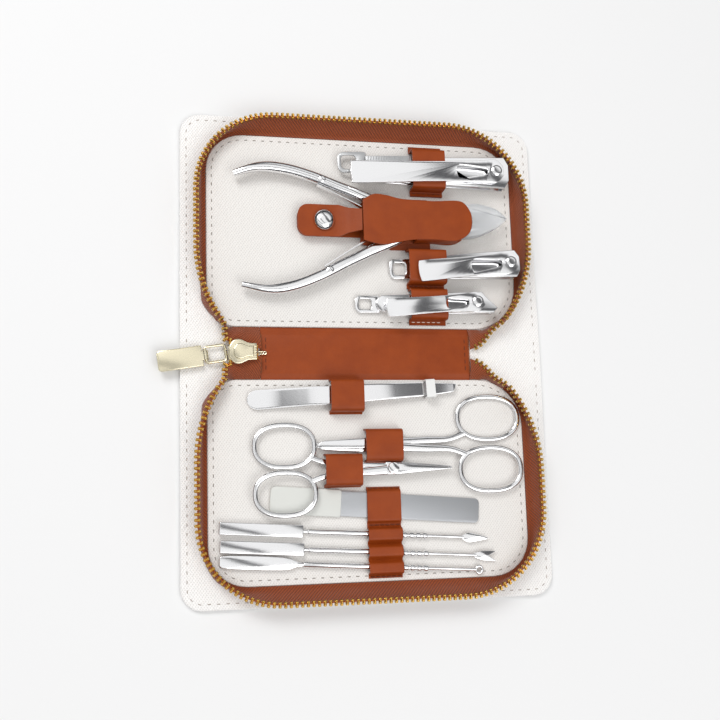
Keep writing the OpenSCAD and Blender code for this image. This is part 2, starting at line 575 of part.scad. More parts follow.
module pointed_half(z) scissor_half([[-3, 2.6], [3, 2.6], [8, 2.2], [26, 0.6], [26.4, 0.1], [8, -1.6],
    [-3, -2]],
    smooth([[2, 0.4], [-10, 1.3], [-22, 2], [-30, 3.2], [-35, 5]], 3), [for (i = [0:16]) mix(4.4, 2.4,
        min(1, i / 8))],
    [-46, 9.9], pointed_ring, z);
module pointed_scissors_fixed_half() translate([pointed_at[0], pointed_at[1], 0]) pointed_half(pointed_z);
module pointed_scissors_moving_half() translate([pointed_at[0], pointed_at[1], 0]) mirror([0, 1, 0])
    pointed_half(pointed_z + scissor_t + 0.03);
module screw(p, z) {
    disc(p, z, screw_d, 2 * scissor_t + 0.05);
    disc(p, z + 2 * scissor_t + 0.05, screw_d + 2, 0.7);
}
module scissors_screws() color(chrome) {
    screw(blunt_at, blunt_fixed_z);
    screw(pointed_at, pointed_z);
}

// Tweezers: two arms, joined at the round end, and the sleeve that keeps the tips shut
tweezer_at = [tweezer_inset - case_w / 2, -20.4];
tweezer_turn = 3.4;
module on_tweezers() translate([tweezer_at[0], tweezer_at[1], 0]) rotate(tweezer_turn) children();
tweezer_outline = concat(arc([tweezer_w / 2, 0], tweezer_w / 2, 90, 270, 10), [[50, -3.6], [78, -2.9],
    [tweezer_l - 1.6, -1.9],
    [tweezer_l, 1.5], [78, 2.9], [50, 3.6]]);
tweezer_rise = 2.2;
module tweezers_lower_arm() color(chrome) on_tweezers() slab(tweezer_outline, seat, tweezer_t);
arm_path = [[0, 0], [10, 0.2], [30, tweezer_rise], [60, tweezer_rise], [tweezer_l - 6, 0.9], [tweezer_l,
    0.9]];
module tweezers_upper_arm() color(chrome) on_tweezers() intersection() {
    translate([0, 20, seat + tweezer_t * 1.5 + 0.02]) rotate([90, 0,
        0]) linear_extrude(40) polygon(bar(arm_path, [for (p = arm_path) tweezer_t]));
    slab(tweezer_outline, seat - 1, 20);
}
sleeve_x = 77;
sleeve_l = 4;
module tweezers_sleeve() color(white_leather) on_tweezers() difference() {
    block([sleeve_x, -4, seat - 0.05], [sleeve_x + sleeve_l, 4, seat + 5.4]);
    block([sleeve_x - 1, -3.3, seat - 0.06], [sleeve_x + sleeve_l + 1, 3.3, seat + 4.8]);
}

// Nail file
file_at = [file_inset - case_w / 2, -61.6];
file_turn = -4.4;
module on_file() translate([file_at[0], file_at[1], 0]) rotate(file_turn) children();
file_grip = 6;
module nail_file_blade() color("#b9bcc0") on_file()
    slab(round_rect([file_handle_l - file_grip, -file_w / 2 + 0.5], [file_handle_l + file_blade_l,
        file_w / 2 - 0.5], [0.5, 2, 2, 0.5]), seat + 0.35, 0.7);
module nail_file_handle() color(white_leather) on_file() difference() {
    slab(round_rect([0, -file_w / 2], [file_handle_l, file_w / 2], [2.4, 1, 1, 2.4]), seat, 1.4);
    block([file_handle_l - file_grip, -file_w / 2 + 0.5, seat + 0.35], [file_handle_l + 1,
        file_w / 2 - 0.5, seat + 1.05]);
}

// Double-ended tools: square handle, neck, round shaft with beads, and a working tip
tool_mid = seat + tool_h / 2;
shaft_d = 2.4;
bead_d = 2.6;
module shaft(x0, x1, d) translate([x0, 0, tool_mid]) rotate([0, 90, 0]) cylinder(d = d, h = x1 - x0);
module beads(x, n) for (i = [0:n - 1]) translate([x + i * 2.9, 0, tool_mid]) rotate([0, 90,
    0]) cylinder(d = bead_d, h = 1.9);
module tool_body(handle_l, bead_x, shaft_end, beads_n) {
    translate([0, -tool_w / 2, seat]) cube([handle_l, tool_w, tool_h]);
    shaft(handle_l - 1, handle_l + 3, 1.8);
    shaft(handle_l + 2, bead_x + 1, shaft_d);
    beads(bead_x, beads_n);
    shaft(bead_x, shaft_end + 1, 1.4);
}
module at_tool(p, turn) translate([p[0], p[1], 0]) rotate(turn) children();
spear_at = [tool_inset - case_w / 2, -72.6];
fork_at = [tool_inset + 0.2 - case_w / 2, -80];
pusher_at = [tool_inset - case_w / 2, -86];
tool_turn = -3.8;
module spear_tool() color(chrome) at_tool(spear_at, tool_turn) union() {
    tool_body(34.6, 77, 104, 4);
    slab(smooth([[103, -0.6], [106, -2], [110, -1.4], [115, 0], [110, 1.4], [106, 2], [103, 0.6]], 3),
        tool_mid - 0.4, 0.8);
}
module fork_tool() color(chrome) at_tool(fork_at, tool_turn) union() {
    tool_body(34.6, 77, 109, 4);
    slab([[108, -0.8], [112, -2], [118, -2.1], [114.6, 0], [118, 2.1], [112, 2], [108, 0.8]],
        tool_mid - 0.4, 0.8);
}
module pusher_tool() color(chrome) at_tool(pusher_at, tool_turn) union() {
    slab(smooth([[0, -1.6], [4, -2.7], [26, -2.6], [32, -1], [34, -1], [34, 1], [32, 1], [26, 2.6], [4,
        2.7], [0, 1.6]], 2), tool_mid - 0.6, 1.2);
    shaft(32, 35, 1.8);
    shaft(34.6, 78, shaft_d);
    beads(77, 4);
    shaft(77, 109, 1.4);
    difference() {
        disc([110.4, 0], tool_mid - 0.5, 4, 1);
        disc([110.4, 0], tool_mid - 1, 1.8, 2);
    }
}

// Loops and the combined strap of the base half
module scissors_and_tweezers_loops() {
    strap([tweezer_at[0] + 35, tweezer_at[0] + 49.2], [-26.4, -25, -12.2, -11.5],
        seat + tweezer_t * 2 + tweezer_rise + 1.5);
    strap([blunt_at[0] - 7.6, blunt_at[0] + 8.4], [-47.2, -46.2, -33.4, -32.6],
        scissor_z + 2 * scissor_t + 0.7 + leather_t + 0.4);
    strap([pointed_at[0] - 29.2, pointed_at[0] - 13.6], [-57.3, -56.2, -43.8, -43],
        pointed_z + 2 * scissor_t + leather_t + 0.5);
}
// The combined strap humps over the file and each tool
hump = seat + tool_h + leather_t / 2 + 0.3;
low_hump = seat + 1.9;
valley = panel_top + leather_t / 2;
strap_line = [[-95.2, valley], [-93.9, valley], [-93.1, hump], [-89.1, hump], [-87.6, valley + 0.5],
    [-86.1, hump],
    [-82.4, hump], [-80.9, valley + 0.1], [-79.4, hump], [-74.9, hump], [-74, valley], [-72.4, valley],
    [-71.6, low_hump], [-59.1, low_hump], [-58.3, valley], [-57.3, valley]];
module tool_strap() color(brown_leather) translate([-2.6, 0, 0]) rotate([90, 0, 90]) linear_extrude(14.6)
    polygon(bar(strap_line, [for (p = strap_line) leather_t]));

module base_cover() base_side() half_cover();
module base_panel() base_side() half_panel();
module base_zip_tape() base_side() half_tape();
module base_zip_teeth() base_side() half_teeth();
module lid_cover() half_cover();
module lid_panel() half_panel();
module lid_zip_tape() half_tape();
module lid_zip_teeth() half_teeth();

base_cover();
base_panel();
base_zip_tape();
base_zip_teeth();
spine_cover();
spine_band();
spine_zip_tape();
spine_zip_teeth();
zip_slider();
zip_pull_link();
zip_pull_tab();
lid_cover();
lid_panel();
lid_zip_tape();
lid_zip_teeth();
nipper_upper_half();
nipper_lower_half();
nipper_pivot_pin();
nipper_upper_spring();
nipper_lower_spring();
nipper_sheath();
nipper_flap();
nipper_snap_cap();
nipper_snap_socket();
nipper_tip_guard();
nipper_strap();
large_clipper_lower_blade();
large_clipper_upper_blade();
large_clipper_pin();
large_clipper_lever();
large_clipper_rivet();
large_clipper_file();
large_clipper_strap();
medium_clipper_lower_blade();
medium_clipper_upper_blade();
medium_clipper_pin();
medium_clipper_lever();
medium_clipper_rivet();
medium_clipper_strap();
small_clipper_lower_blade();
small_clipper_upper_blade();
small_clipper_pin();
small_clipper_lever();
small_clipper_rivet();
small_clipper_strap();
tweezers_lower_arm();
tweezers_upper_arm();
tweezers_sleeve();
blunt_scissors_fixed_half();
blunt_scissors_moving_half();
pointed_scissors_fixed_half();
pointed_scissors_moving_half();
scissors_screws();
scissors_and_tweezers_loops();
nail_file_blade();
nail_file_handle();
tool_strap();
spear_tool();
fork_tool();
pusher_tool();
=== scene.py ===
import bpy
import bmesh
import math
from mathutils import Matrix, Vector


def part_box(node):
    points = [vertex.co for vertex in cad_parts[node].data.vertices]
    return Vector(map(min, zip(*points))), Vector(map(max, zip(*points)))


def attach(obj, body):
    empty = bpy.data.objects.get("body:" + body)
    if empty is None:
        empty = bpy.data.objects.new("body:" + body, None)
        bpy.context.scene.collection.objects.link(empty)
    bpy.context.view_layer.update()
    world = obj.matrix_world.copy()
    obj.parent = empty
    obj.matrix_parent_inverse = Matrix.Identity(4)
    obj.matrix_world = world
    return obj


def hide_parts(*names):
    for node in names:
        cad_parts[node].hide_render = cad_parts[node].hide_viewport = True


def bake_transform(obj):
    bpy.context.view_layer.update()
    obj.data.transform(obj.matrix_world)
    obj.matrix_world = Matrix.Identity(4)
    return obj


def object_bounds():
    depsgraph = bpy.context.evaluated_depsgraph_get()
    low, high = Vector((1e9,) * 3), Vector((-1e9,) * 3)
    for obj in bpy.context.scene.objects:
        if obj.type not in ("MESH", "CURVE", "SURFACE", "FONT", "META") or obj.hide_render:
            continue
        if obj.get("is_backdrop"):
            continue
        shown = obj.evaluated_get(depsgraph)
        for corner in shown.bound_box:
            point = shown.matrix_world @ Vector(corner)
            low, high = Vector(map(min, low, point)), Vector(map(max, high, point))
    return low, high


# Zip-round manicure case, open on a pale table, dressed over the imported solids.
# Sizes here are millimetres; finishPiece turns them to metres.

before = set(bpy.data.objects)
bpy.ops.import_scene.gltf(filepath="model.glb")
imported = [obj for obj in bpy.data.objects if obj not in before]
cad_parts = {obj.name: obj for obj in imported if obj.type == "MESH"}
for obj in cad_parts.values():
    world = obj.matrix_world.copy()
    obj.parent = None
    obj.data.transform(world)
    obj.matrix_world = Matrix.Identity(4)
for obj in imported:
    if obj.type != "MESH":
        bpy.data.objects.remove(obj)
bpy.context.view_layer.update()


# Levels and outlines that come from the frame
def boxOf(node):
    low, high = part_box(node)
    return low * 1000, high * 1000


panelLow, panelHigh = boxOf("lid_panel")
coverLow, coverHigh = boxOf("lid_cover")
creaseY = -boxOf("base_cover")[1].y
coverTop = coverHigh.z
panelTop = panelHigh.z
teethTop = boxOf("lid_zip_teeth")[1].z

case = dict(
    coverRadius=9, panelRadius=16, panelLeftRadius=12, panelRightRadius=20, wallStart=14.5,
    zipLeft=-73.5, zipRight=74.5, zipOuter=coverHigh.y - 1.6, turnLeft=34, turnRight=36,
    swingLeft=(31, 9.4), swingRight=(36, 13.4))


# Small helpers for outlines and lines

def arc(cx, cy, r, a0, a1, n):
    turns = [math.radians(a0 + (a1 - a0) * i / n) for i in range(n + 1)]
    return [(cx + r * math.cos(a), cy + r * math.sin(a)) for a in turns]


# A point of a circle that is squared off as power goes below 1
def oval(a, power):
    c, s = math.cos(a), math.sin(a)
    return math.copysign(abs(c) ** power, c), math.copysign(abs(s) ** power, s)


def roundRect(x0, y0, x1, y1, radii, n=8):
    a, b, c, d = radii  # lower left, lower right, upper right, upper left
    return (arc(x0 + a, y0 + a, a, 180, 270, n) + arc(x1 - b, y0 + b, b, 270, 360, n)
            + arc(x1 - c, y1 - c, c, 0, 90, n) + arc(x0 + d, y1 - d, d, 90, 180, n))


def smoothLine(points, n=4):
    points = [Vector(p) for p in points]
    line = []
    for i in range(len(points) - 1):
        a, b, c, d = points[max(i - 1, 0)], points[i], points[i + 1], points[min(i + 2, len(points) - 1)]
        for k in range(n):
            t = k / n
            line.append(0.5 * (2 * b + (c - a) * t + (2 * a - 5 * b + 4 * c - d) * t * t
                               + (3 * b - 3 * c + d - a) * t ** 3))
    return line + [points[-1]]


# Points and directions every pitch along a line
def stations(line, pitch, start=0.0, end=0.0):
    line = [Vector(p) for p in line]
    lengths = [0.0]
    for a, b in zip(line, line[1:]):
        lengths.append(lengths[-1] + (b - a).length)
    found, s, i = [], start, 0
    while s <= lengths[-1] - end + 1e-6:
        while i < len(line) - 2 and lengths[i + 1] < s:
            i += 1
        span = lengths[i + 1] - lengths[i]
        found.append((line[i].lerp(line[i + 1], (s - lengths[i]) / span), (line[i + 1] - line[i]).normalized()))
        s += pitch
    return found


def place(bm, verts, x, y, turn=0.0, z=0.0):
    matrix = Matrix.Translation((x, y, z)) @ Matrix.Rotation(math.radians(turn), 4, "Z")
    bmesh.ops.transform(bm, matrix=matrix, verts=verts)


def addObject(name, data):
    made = bpy.data.objects.new(name, data)
    bpy.context.scene.collection.objects.link(made)
    return made


def toMesh(name, bm):
    mesh = bpy.data.meshes.new(name)
    bm.to_mesh(mesh)
    bm.free()
    return mesh


# Shapes

def roundOff(bm, edges, offset, segments, clamp=False):
    bmesh.ops.bevel(bm, geom=edges, offset=offset, offset_type="OFFSET", affect="EDGES", segments=segments,
                    profile=0.5, material=-1, clamp_overlap=clamp)


# Pulls flat faces up into a block and gives the points of its top
def raiseUp(bm, faces, height):
    made = bmesh.ops.extrude_face_region(bm, geom=faces)["geom"]
    top = [v for v in made if isinstance(v, bmesh.types.BMVert)]
    bmesh.ops.translate(bm, verts=top, vec=(0, 0, height))
    bm.normal_update()
    return top


# A flat plate with a rounded rim, and a hole through it if one is given
def plate(bm, outline, z0, z1, bevel=0.2, segments=2, hole=None):
    outer = [bm.verts.new((p[0], p[1], z0)) for p in outline]
    if hole:
        inner = [bm.verts.new((p[0], p[1], z0)) for p in hole]
        right, left = (pick(range(len(inner)), key=lambda i: inner[i].co.x) for pick in (max, min))
        a, b = (min(range(len(outer)), key=lambda i: (outer[i].co - inner[end].co).length) for end in (right, left))

        def walk(ring, i, j):
            return ring[i:j + 1] if i <= j else ring[i:] + ring[:j + 1]
        faces = [bm.faces.new(walk(outer, a, b) + walk(inner, right, left)[::-1]),
                 bm.faces.new(walk(outer, b, a) + walk(inner, left, right)[::-1])]
    else:
        faces = [bm.faces.new(outer)]
    verts = set(raiseUp(bm, faces, z1 - z0)) | {v for f in faces for v in f.verts}
    rim = [e for e in bm.edges if e.verts[0] in verts and e.verts[1] in verts and e.is_manifold
           and abs(e.link_faces[0].normal.z) + abs(e.link_faces[1].normal.z) > 0.9
           and abs(e.link_faces[0].normal.z * e.link_faces[1].normal.z) < 0.1]
    roundOff(bm, rim, bevel, segments, True)


# A skin over rings of points, each with the same count
def loft(bm, rings, closed=False):
    rows = [[bm.verts.new(p) for p in ring] for ring in rings]
    for a, b in list(zip(rows, rows[1:])) + ([(rows[-1], rows[0])] if closed else []):
        for i in range(len(a)):
            j = (i + 1) % len(a)
            bm.faces.new((a[i], a[j], b[j], b[i]))
    if not closed:
        bm.faces.new(rows[0][::-1])
        bm.faces.new(rows[-1])


# A round or oval bar along a line of points; its widths may change along the way
def tube(bm, line, halfWidth, halfHeight=None, sides=12, closed=False, power=1.0):
    line = [Vector(p).to_3d() for p in line]
    n = len(line)

    def at(value, i):
        return value(i / (n - 1)) if callable(value) else value
    rings = []
    for i, p in enumerate(line):
        after, before = (line[(i + 1) % n], line[i - 1]) if closed else (line[min(i + 1, n - 1)], line[max(i - 1, 0)])
        d = (after - before).normalized()
        up = Vector((0, 0, 1)) if abs(d.z) < 0.95 else Vector((1, 0, 0))
        out = d.cross(up).normalized()
        up = out.cross(d).normalized()
        w, h = at(halfWidth, i), at(halfHeight or halfWidth, i)
        corners = [oval(2 * math.pi * k / sides, power) for k in range(sides)]
        rings.append([p + out * w * c + up * h * s for c, s in corners])
    loft(bm, rings, closed)


# A turned piece: radius and height pairs spun round an axis through centre
def turned(bm, profile, centre, axis="Z", steps=32):
    old = set(bm.verts)
    verts = [bm.verts.new((r, 0, z)) for r, z in profile]
    edges = [bm.edges.new(pair) for pair in zip(verts, verts[1:])]
    bmesh.ops.spin(bm, geom=verts + edges, cent=(0, 0, 0), axis=(0, 0, 1), angle=2 * math.pi,
                   steps=steps, use_merge=True)
    turn = Matrix.Identity(4) if axis == "Z" else Matrix.Rotation(math.radians(90), 4, "Y")
    bmesh.ops.transform(bm, matrix=Matrix.Translation(centre) @ turn, verts=[v for v in bm.verts if v not in old])


# Even steps from a to b
def between(a, b, n):
    return [a + (b - a) * k / n for k in range(n + 1)]


# A grid of points made into a sheet with thickness
def thicken(bm, grid, thickness):
    faces = [bm.faces.new((a[i], a[i + 1], b[i + 1], b[i]))
             for a, b in zip(grid, grid[1:]) for i in range(len(a) - 1)]
    bmesh.ops.recalc_face_normals(bm, faces=faces)
    bmesh.ops.solidify(bm, geom=faces, thickness=thickness)


def sheet(bm, rows, thickness):
    thicken(bm, [[bm.verts.new(p) for p in row] for row in rows], thickness)


# Closes the mesh, turns it to metres and hangs it on its body
def finishPiece(name, bm, material, body, nodes=(), angle=35, bendTo=None):
    bmesh.ops.remove_doubles(bm, verts=bm.verts, dist=0.0005)
    bmesh.ops.recalc_face_normals(bm, faces=bm.faces)
    bmesh.ops.scale(bm, vec=(0.001,) * 3, verts=bm.verts)
    if material in (whiteCover, whitePanel):
        # The grain is laid out flat, so that it follows the cover round its folds
        flat = bm.loops.layers.uv.new("flat")
        for face in bm.faces:
            for loop in face.loops:
                c = loop.vert.co
                loop[flat].uv = (c.x + 0.8 * c.z, c.y + 0.6 * c.z)
    mesh = toMesh(name, bm)
    mesh.shade_smooth()
    mesh.set_sharp_from_angle(angle=math.radians(angle))
    piece = addObject(name, mesh)
    mesh.materials.append(material)
    if bendTo:
        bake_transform(piece)
    else:
        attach(piece, body)
    if nodes:
        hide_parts(*nodes)


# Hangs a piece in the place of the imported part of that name; like is the settings that say where it lies
def dress(bm, node, material, body, like=None, angle=35):
    if like:
        place(bm, bm.verts, *like["at"], like.get("turn", 0))
    finishPiece("dressed_" + node, bm, material, body, [node], angle)


# Stitches: short flat-ended threads that dip into the leather
def stitches(bm, line, pitch, length, z, half=0.16):
    for p, d in stations([Vector(q).to_2d() for q in line], pitch, pitch / 2, pitch / 4):
        a, b = p - d * length / 2, p + d * length / 2
        path = [(a.x, a.y, z - 0.2), (a.x + d.x * 0.25, a.y + d.y * 0.25, z + 0.08), (p.x, p.y, z + 0.14),
                (b.x - d.x * 0.25, b.y - d.y * 0.25, z + 0.08), (b.x, b.y, z - 0.2)]
        tube(bm, path, half, half * 0.8, sides=6)


# Materials

# An sRGB hex colour as the linear colour that the shader takes
def linear(code):
    parts = [int(code[i:i + 2], 16) / 255 for i in (0, 2, 4)]
    return [c / 12.92 if c <= 0.04045 else ((c + 0.055) / 1.055) ** 2.4 for c in parts] + [1.0]


def newMaterial(name, color, roughness, metallic=0.0, **more):
    material = bpy.data.materials.new(name)
    material.use_nodes = True
    shader = material.node_tree.nodes["Principled BSDF"]
    shader.inputs["Base Color"].default_value = linear(color)
    shader.inputs["Roughness"].default_value = roughness
    shader.inputs["Metallic"].default_value = metallic
    for key, value in more.items():
        shader.inputs[key].default_value = value
    return material, material.node_tree, shader


# Adds a node; settings are its own properties or input values, links are (input, socket) pairs
def addNode(tree, kind, settings=None, links=None):
    node = tree.nodes.new(kind)
    for key, value in (settings or {}).items():
        if isinstance(key, str) and hasattr(node, key):
            setattr(node, key, value)
        else:
            node.inputs[key].default_value = value
    for key, socket in (links or {}).items():
        tree.links.new(node.inputs[key], socket)
    return node


def addBump(tree, shader, height, distance, strength=1.0):
    bump = addNode(tree, "ShaderNodeBump", {"Distance": distance, "Strength": strength}, {"Height": height})
    tree.links.new(shader.inputs["Normal"], bump.outputs["Normal"])


# Ridges square to a direction, pitch metres apart, made uneven by a noise
def addLines(tree, place3d, direction, pitch, wobble):
    along = addNode(tree, "ShaderNodeVectorMath", {"operation": "DOT_PRODUCT", 1: direction}, {0: place3d})
    bent = addNode(tree, "ShaderNodeMath", {"operation": "MULTIPLY_ADD", 1: 2 * math.pi / pitch},
                   {0: along.outputs["Value"], 2: wobble})
    return addNode(tree, "ShaderNodeMath", {"operation": "SINE"}, {0: bent.outputs[0]}).outputs[0]


# Blends two colours into the material by a factor
def addTwoColors(tree, shader, factor, deep, color):
    mixed = addNode(tree, "ShaderNodeMix", {"data_type": "RGBA", 6: linear(deep), 7: linear(color)}, {0: factor})
    tree.links.new(shader.inputs["Base Color"], mixed.outputs[2])


# Corrected leather pressed with a cross-grain roller: fine slanting ridges that break up the light
def crossGrainLeather(name, color, deep, pitch=0.0009, distance=0.00012):
    material, tree, shader = newMaterial(name, color, 0.55)
    where = addNode(tree, "ShaderNodeUVMap", {"uv_map": "flat"}).outputs["UV"]
    noise = addNode(tree, "ShaderNodeTexNoise", {"Scale": 700.0, "Detail": 2.0}, {"Vector": where}).outputs["Fac"]
    wobble = addNode(tree, "ShaderNodeMath", {"operation": "MULTIPLY", 1: 5.0}, {0: noise}).outputs[0]
    one = addLines(tree, where, (0.8, 0.6, 0.0), pitch, wobble)
    two = addLines(tree, where, (0.8, -0.6, 0.0), pitch * 1.15, wobble)
    both = addNode(tree, "ShaderNodeMath", {"operation": "MAXIMUM"}, {0: one, 1: two}).outputs[0]
    ramp = addNode(tree, "ShaderNodeMapRange", {"From Min": -0.6, "From Max": 0.7}, {"Value": both})
    addTwoColors(tree, shader, ramp.outputs["Result"], deep, color)
    addBump(tree, shader, both, distance, 0.7)
    return material


# Smooth tanned leather, dyed brown: fine pores and a soft sheen
def smoothLeather(name, color, deep):
    material, tree, shader = newMaterial(name, color, 0.48, **{"Specular IOR Level": 0.3})
    where = addNode(tree, "ShaderNodeTexCoord").outputs["Object"]
    patches = addNode(tree, "ShaderNodeTexNoise", {"Scale": 160.0, "Detail": 4.0}, {"Vector": where}).outputs["Fac"]
    pores = addNode(tree, "ShaderNodeTexVoronoi", {"Scale": 1800.0}, {"Vector": where}).outputs["Distance"]
    addTwoColors(tree, shader, patches, deep, color)
    addBump(tree, shader, pores, 0.00008, 0.6)
    return material


# Woven twill zip tape: slanting ribs of thread, dull and slightly fuzzy. Its own UV map runs in millimetres
def twillTape(name, color, deep):
    material, tree, shader = newMaterial(name, color, 0.85, **{"Sheen Weight": 0.3, "Sheen Roughness": 0.5})
    where = addNode(tree, "ShaderNodeUVMap", {"uv_map": "tape"}).outputs["UV"]
    noise = addNode(tree, "ShaderNodeTexNoise", {"Scale": 1.4, "Detail": 3.0}, {"Vector": where}).outputs["Fac"]
    ribs = addLines(tree, where, (0.8, 0.6, 0.0), 1.1, noise)
    threads = addLines(tree, where, (-0.6, 0.8, 0.0), 0.7, noise)
    both = addNode(tree, "ShaderNodeMath", {"operation": "MULTIPLY_ADD", 1: 0.4}, {0: threads, 2: ribs}).outputs[0]
    ramp = addNode(tree, "ShaderNodeMapRange", {"From Min": -1.2, "From Max": 1.0}, {"Value": both})
    addTwoColors(tree, shader, ramp.outputs["Result"], deep, color)
    addBump(tree, shader, both, 0.00015, 0.8)
    return material


# Metal with a faint uneven polish
def plainMetal(name, color, roughness, grain, scale=900.0):
    material, tree, shader = newMaterial(name, color, roughness, 1.0)
    where = addNode(tree, "ShaderNodeTexCoord").outputs["Object"]
    noise = addNode(tree, "ShaderNodeTexNoise", {"Scale": scale, "Detail": 3.0}, {"Vector": where}).outputs["Fac"]
    addBump(tree, shader, noise, grain, 0.5)
    return material


whiteCover = crossGrainLeather("cross_grain_cover_leather", "FAF8F6", "E8E5E2")
whitePanel = crossGrainLeather("cross_grain_panel_leather", "E9E6E2", "D8D4D0", 0.0009, 0.00006)
brownLeather = smoothLeather("smooth_brown_leather", "9C430C", "823306")
paleEdge = smoothLeather("turned_leather_edge", "96512C", "84431F")
tapeCloth = twillTape("zip_tape_twill", "9E4716", "70300B")
brass = plainMetal("brass_zip_teeth", "E6BC66", 0.24, 0.00002)  # stamped brass, warm and bright
paleGold = plainMetal("pale_gold_plate", "F0E7CA", 0.2, 0.00001)  # thin gold plate over zinc, slightly satin
chrome = plainMetal("polished_steel", "F0F0F1", 0.12, 0.000006)  # nickel-plated steel, near mirror
satinSteel = plainMetal("satin_steel", "C9CACB", 0.34, 0.00001)  # tumbled steel of springs and rivets
gritSteel = plainMetal("etched_file_steel", "B4B6B9", 0.5, 0.00012, 2600.0)  # etched grit that sparkles
threadGrey = newMaterial("grey_polyester_thread", "8F8780", 0.7)[0]  # thread on the panels
threadWhite = newMaterial("white_polyester_thread", "F2ECE4", 0.6)[0]  # thread on the brown leather
threadTan = newMaterial("taupe_polyester_thread", "9C8D82", 0.7)[0]  # thread round the cover's edge
threadBrown = newMaterial("brown_polyester_thread", "6A2E12", 0.65)[0]  # thread on the band and the loops
filePlastic = newMaterial("pale_file_plastic", "D6D7D2", 0.35)[0]  # moulded styrene, satin
sleevePlastic = newMaterial("white_pvc_sleeve", "F4F4F2", 0.3, **{"Transmission Weight": 0.15})[0]  # soft vinyl tube
# vacuum-formed sheet, milky
clearPlastic = newMaterial("frosted_pet_guard", "F4F6F8", 0.22, **{"Transmission Weight": 0.62, "IOR": 1.12})[0]
print("materials ready")


# The zip's line round one half, and the point on the panel's edge that faces each of its points

def swing(cx, cy, size, side):
    rise, reach = size
    r = (rise * rise + reach * reach) / (2 * reach)
    a = math.degrees(math.asin(rise / r))
    return arc(cx + r, cy, r, 180 + a, 180, 12) if side < 0 else arc(cx - r, cy, r, 0, -a, 13)


def zipLine():
    c = case
    left = swing(c["zipLeft"], c["wallStart"] + c["swingLeft"][0], c["swingLeft"], -1)
    right = swing(c["zipRight"], c["wallStart"] + c["swingRight"][0], c["swingRight"], 1)
    return [Vector(p) for p in left
            + arc(c["zipLeft"] + c["turnLeft"], c["zipOuter"] - c["turnLeft"], c["turnLeft"], 180, 90, 20)
            + arc(c["zipRight"] - c["turnRight"], c["zipOuter"] - c["turnRight"], c["turnRight"], 90, 0, 22) + right]


# Nearest point on the panel's outline, moved outwards
def panelEdge(p, out):
    far = p.y > (panelLow.y + panelHigh.y) / 2
    r = case["panelRadius"] if far else case["panelLeftRadius"] if p.x < 0 else case["panelRightRadius"]
    c = Vector((panelLow.x + r if p.x < 0 else panelHigh.x - r, panelHigh.y - r if far else panelLow.y + r))
    q = Vector((c.x - p.x if p.x < 0 else p.x - c.x, p.y - c.y if far else c.y - p.y))
    if q.x > 0 and q.y > 0:
        return c + (r + out) * (p - c).normalized()
    if q.x > q.y:
        return Vector((panelLow.x - out if p.x < 0 else panelHigh.x + out, p.y))
    return Vector((p.x, panelHigh.y + out if far else panelLow.y - out))


def smoothed(values, passes=3):
    for _ in range(passes):
        values = [values[0]] + [(a + 2 * b + c) / 4 for a, b, c in zip(values, values[1:], values[2:])] + [values[-1]]
    return values


# Tape woven along its length: each row runs from the panel to the teeth, and the tape map is in millimetres
def tapeSheet(bm, rows, thickness):
    us, vs = bm.verts.layers.float.new("u"), bm.verts.layers.float.new("v")
    grid, u = [], 0.0
    for k, row in enumerate(rows):
        u += (row[-1] - rows[k - 1][-1]).length if k else 0.0
        line, v = [], 0.0
        for i, p in enumerate(row):
            v += (p - row[i - 1]).length if i else 0.0
            vert = bm.verts.new(p)
            vert[us], vert[vs] = u, v
            line.append(vert)
        grid.append(line)
    thicken(bm, grid, thickness)
    tapeMap = bm.loops.layers.uv.new("tape")
    for face in bm.faces:
        for loop in face.loops:
            loop[tapeMap].uv = (loop.vert[us], loop.vert[vs])


def mirrored(bm, sign):
    if sign < 0:
        bmesh.ops.scale(bm, vec=(1, -1, 1), verts=bm.verts)


# A stamped tooth: two legs clamped on the tape and a small head that meshes
def oneTooth():
    bm = bmesh.new()
    for size, z in (((1.25, 2.6, 1.7), 0.85), ((0.8, 1.5, 0.8), 1.75)):
        made = bmesh.ops.create_cube(bm, size=1)["verts"]
        bmesh.ops.scale(bm, vec=size, verts=made)
        bmesh.ops.translate(bm, vec=(0, 0, z), verts=made)
    roundOff(bm, bm.edges[:], 0.28, 1)
    return toMesh("tooth_pattern", bm)


toothPattern = oneTooth()


def teethAlong(bm, places, sign=1):
    for p, d in places:
        before = len(bm.verts)
        bm.from_mesh(toothPattern)
        bm.verts.ensure_lookup_table()
        turn = math.degrees(math.atan2(d.y, d.x))
        place(bm, bm.verts[before:], p.x, p.y, turn, p.z)
    mirrored(bm, sign)


# Case: cover, panels, tape and teeth. The lid half is drawn and the base half is its mirror image

threadInset = dict(cover=2.7, panel=2.4)
wall = dict(pitch=2.3, foot=2.4, thick=0.5, tapered=4)


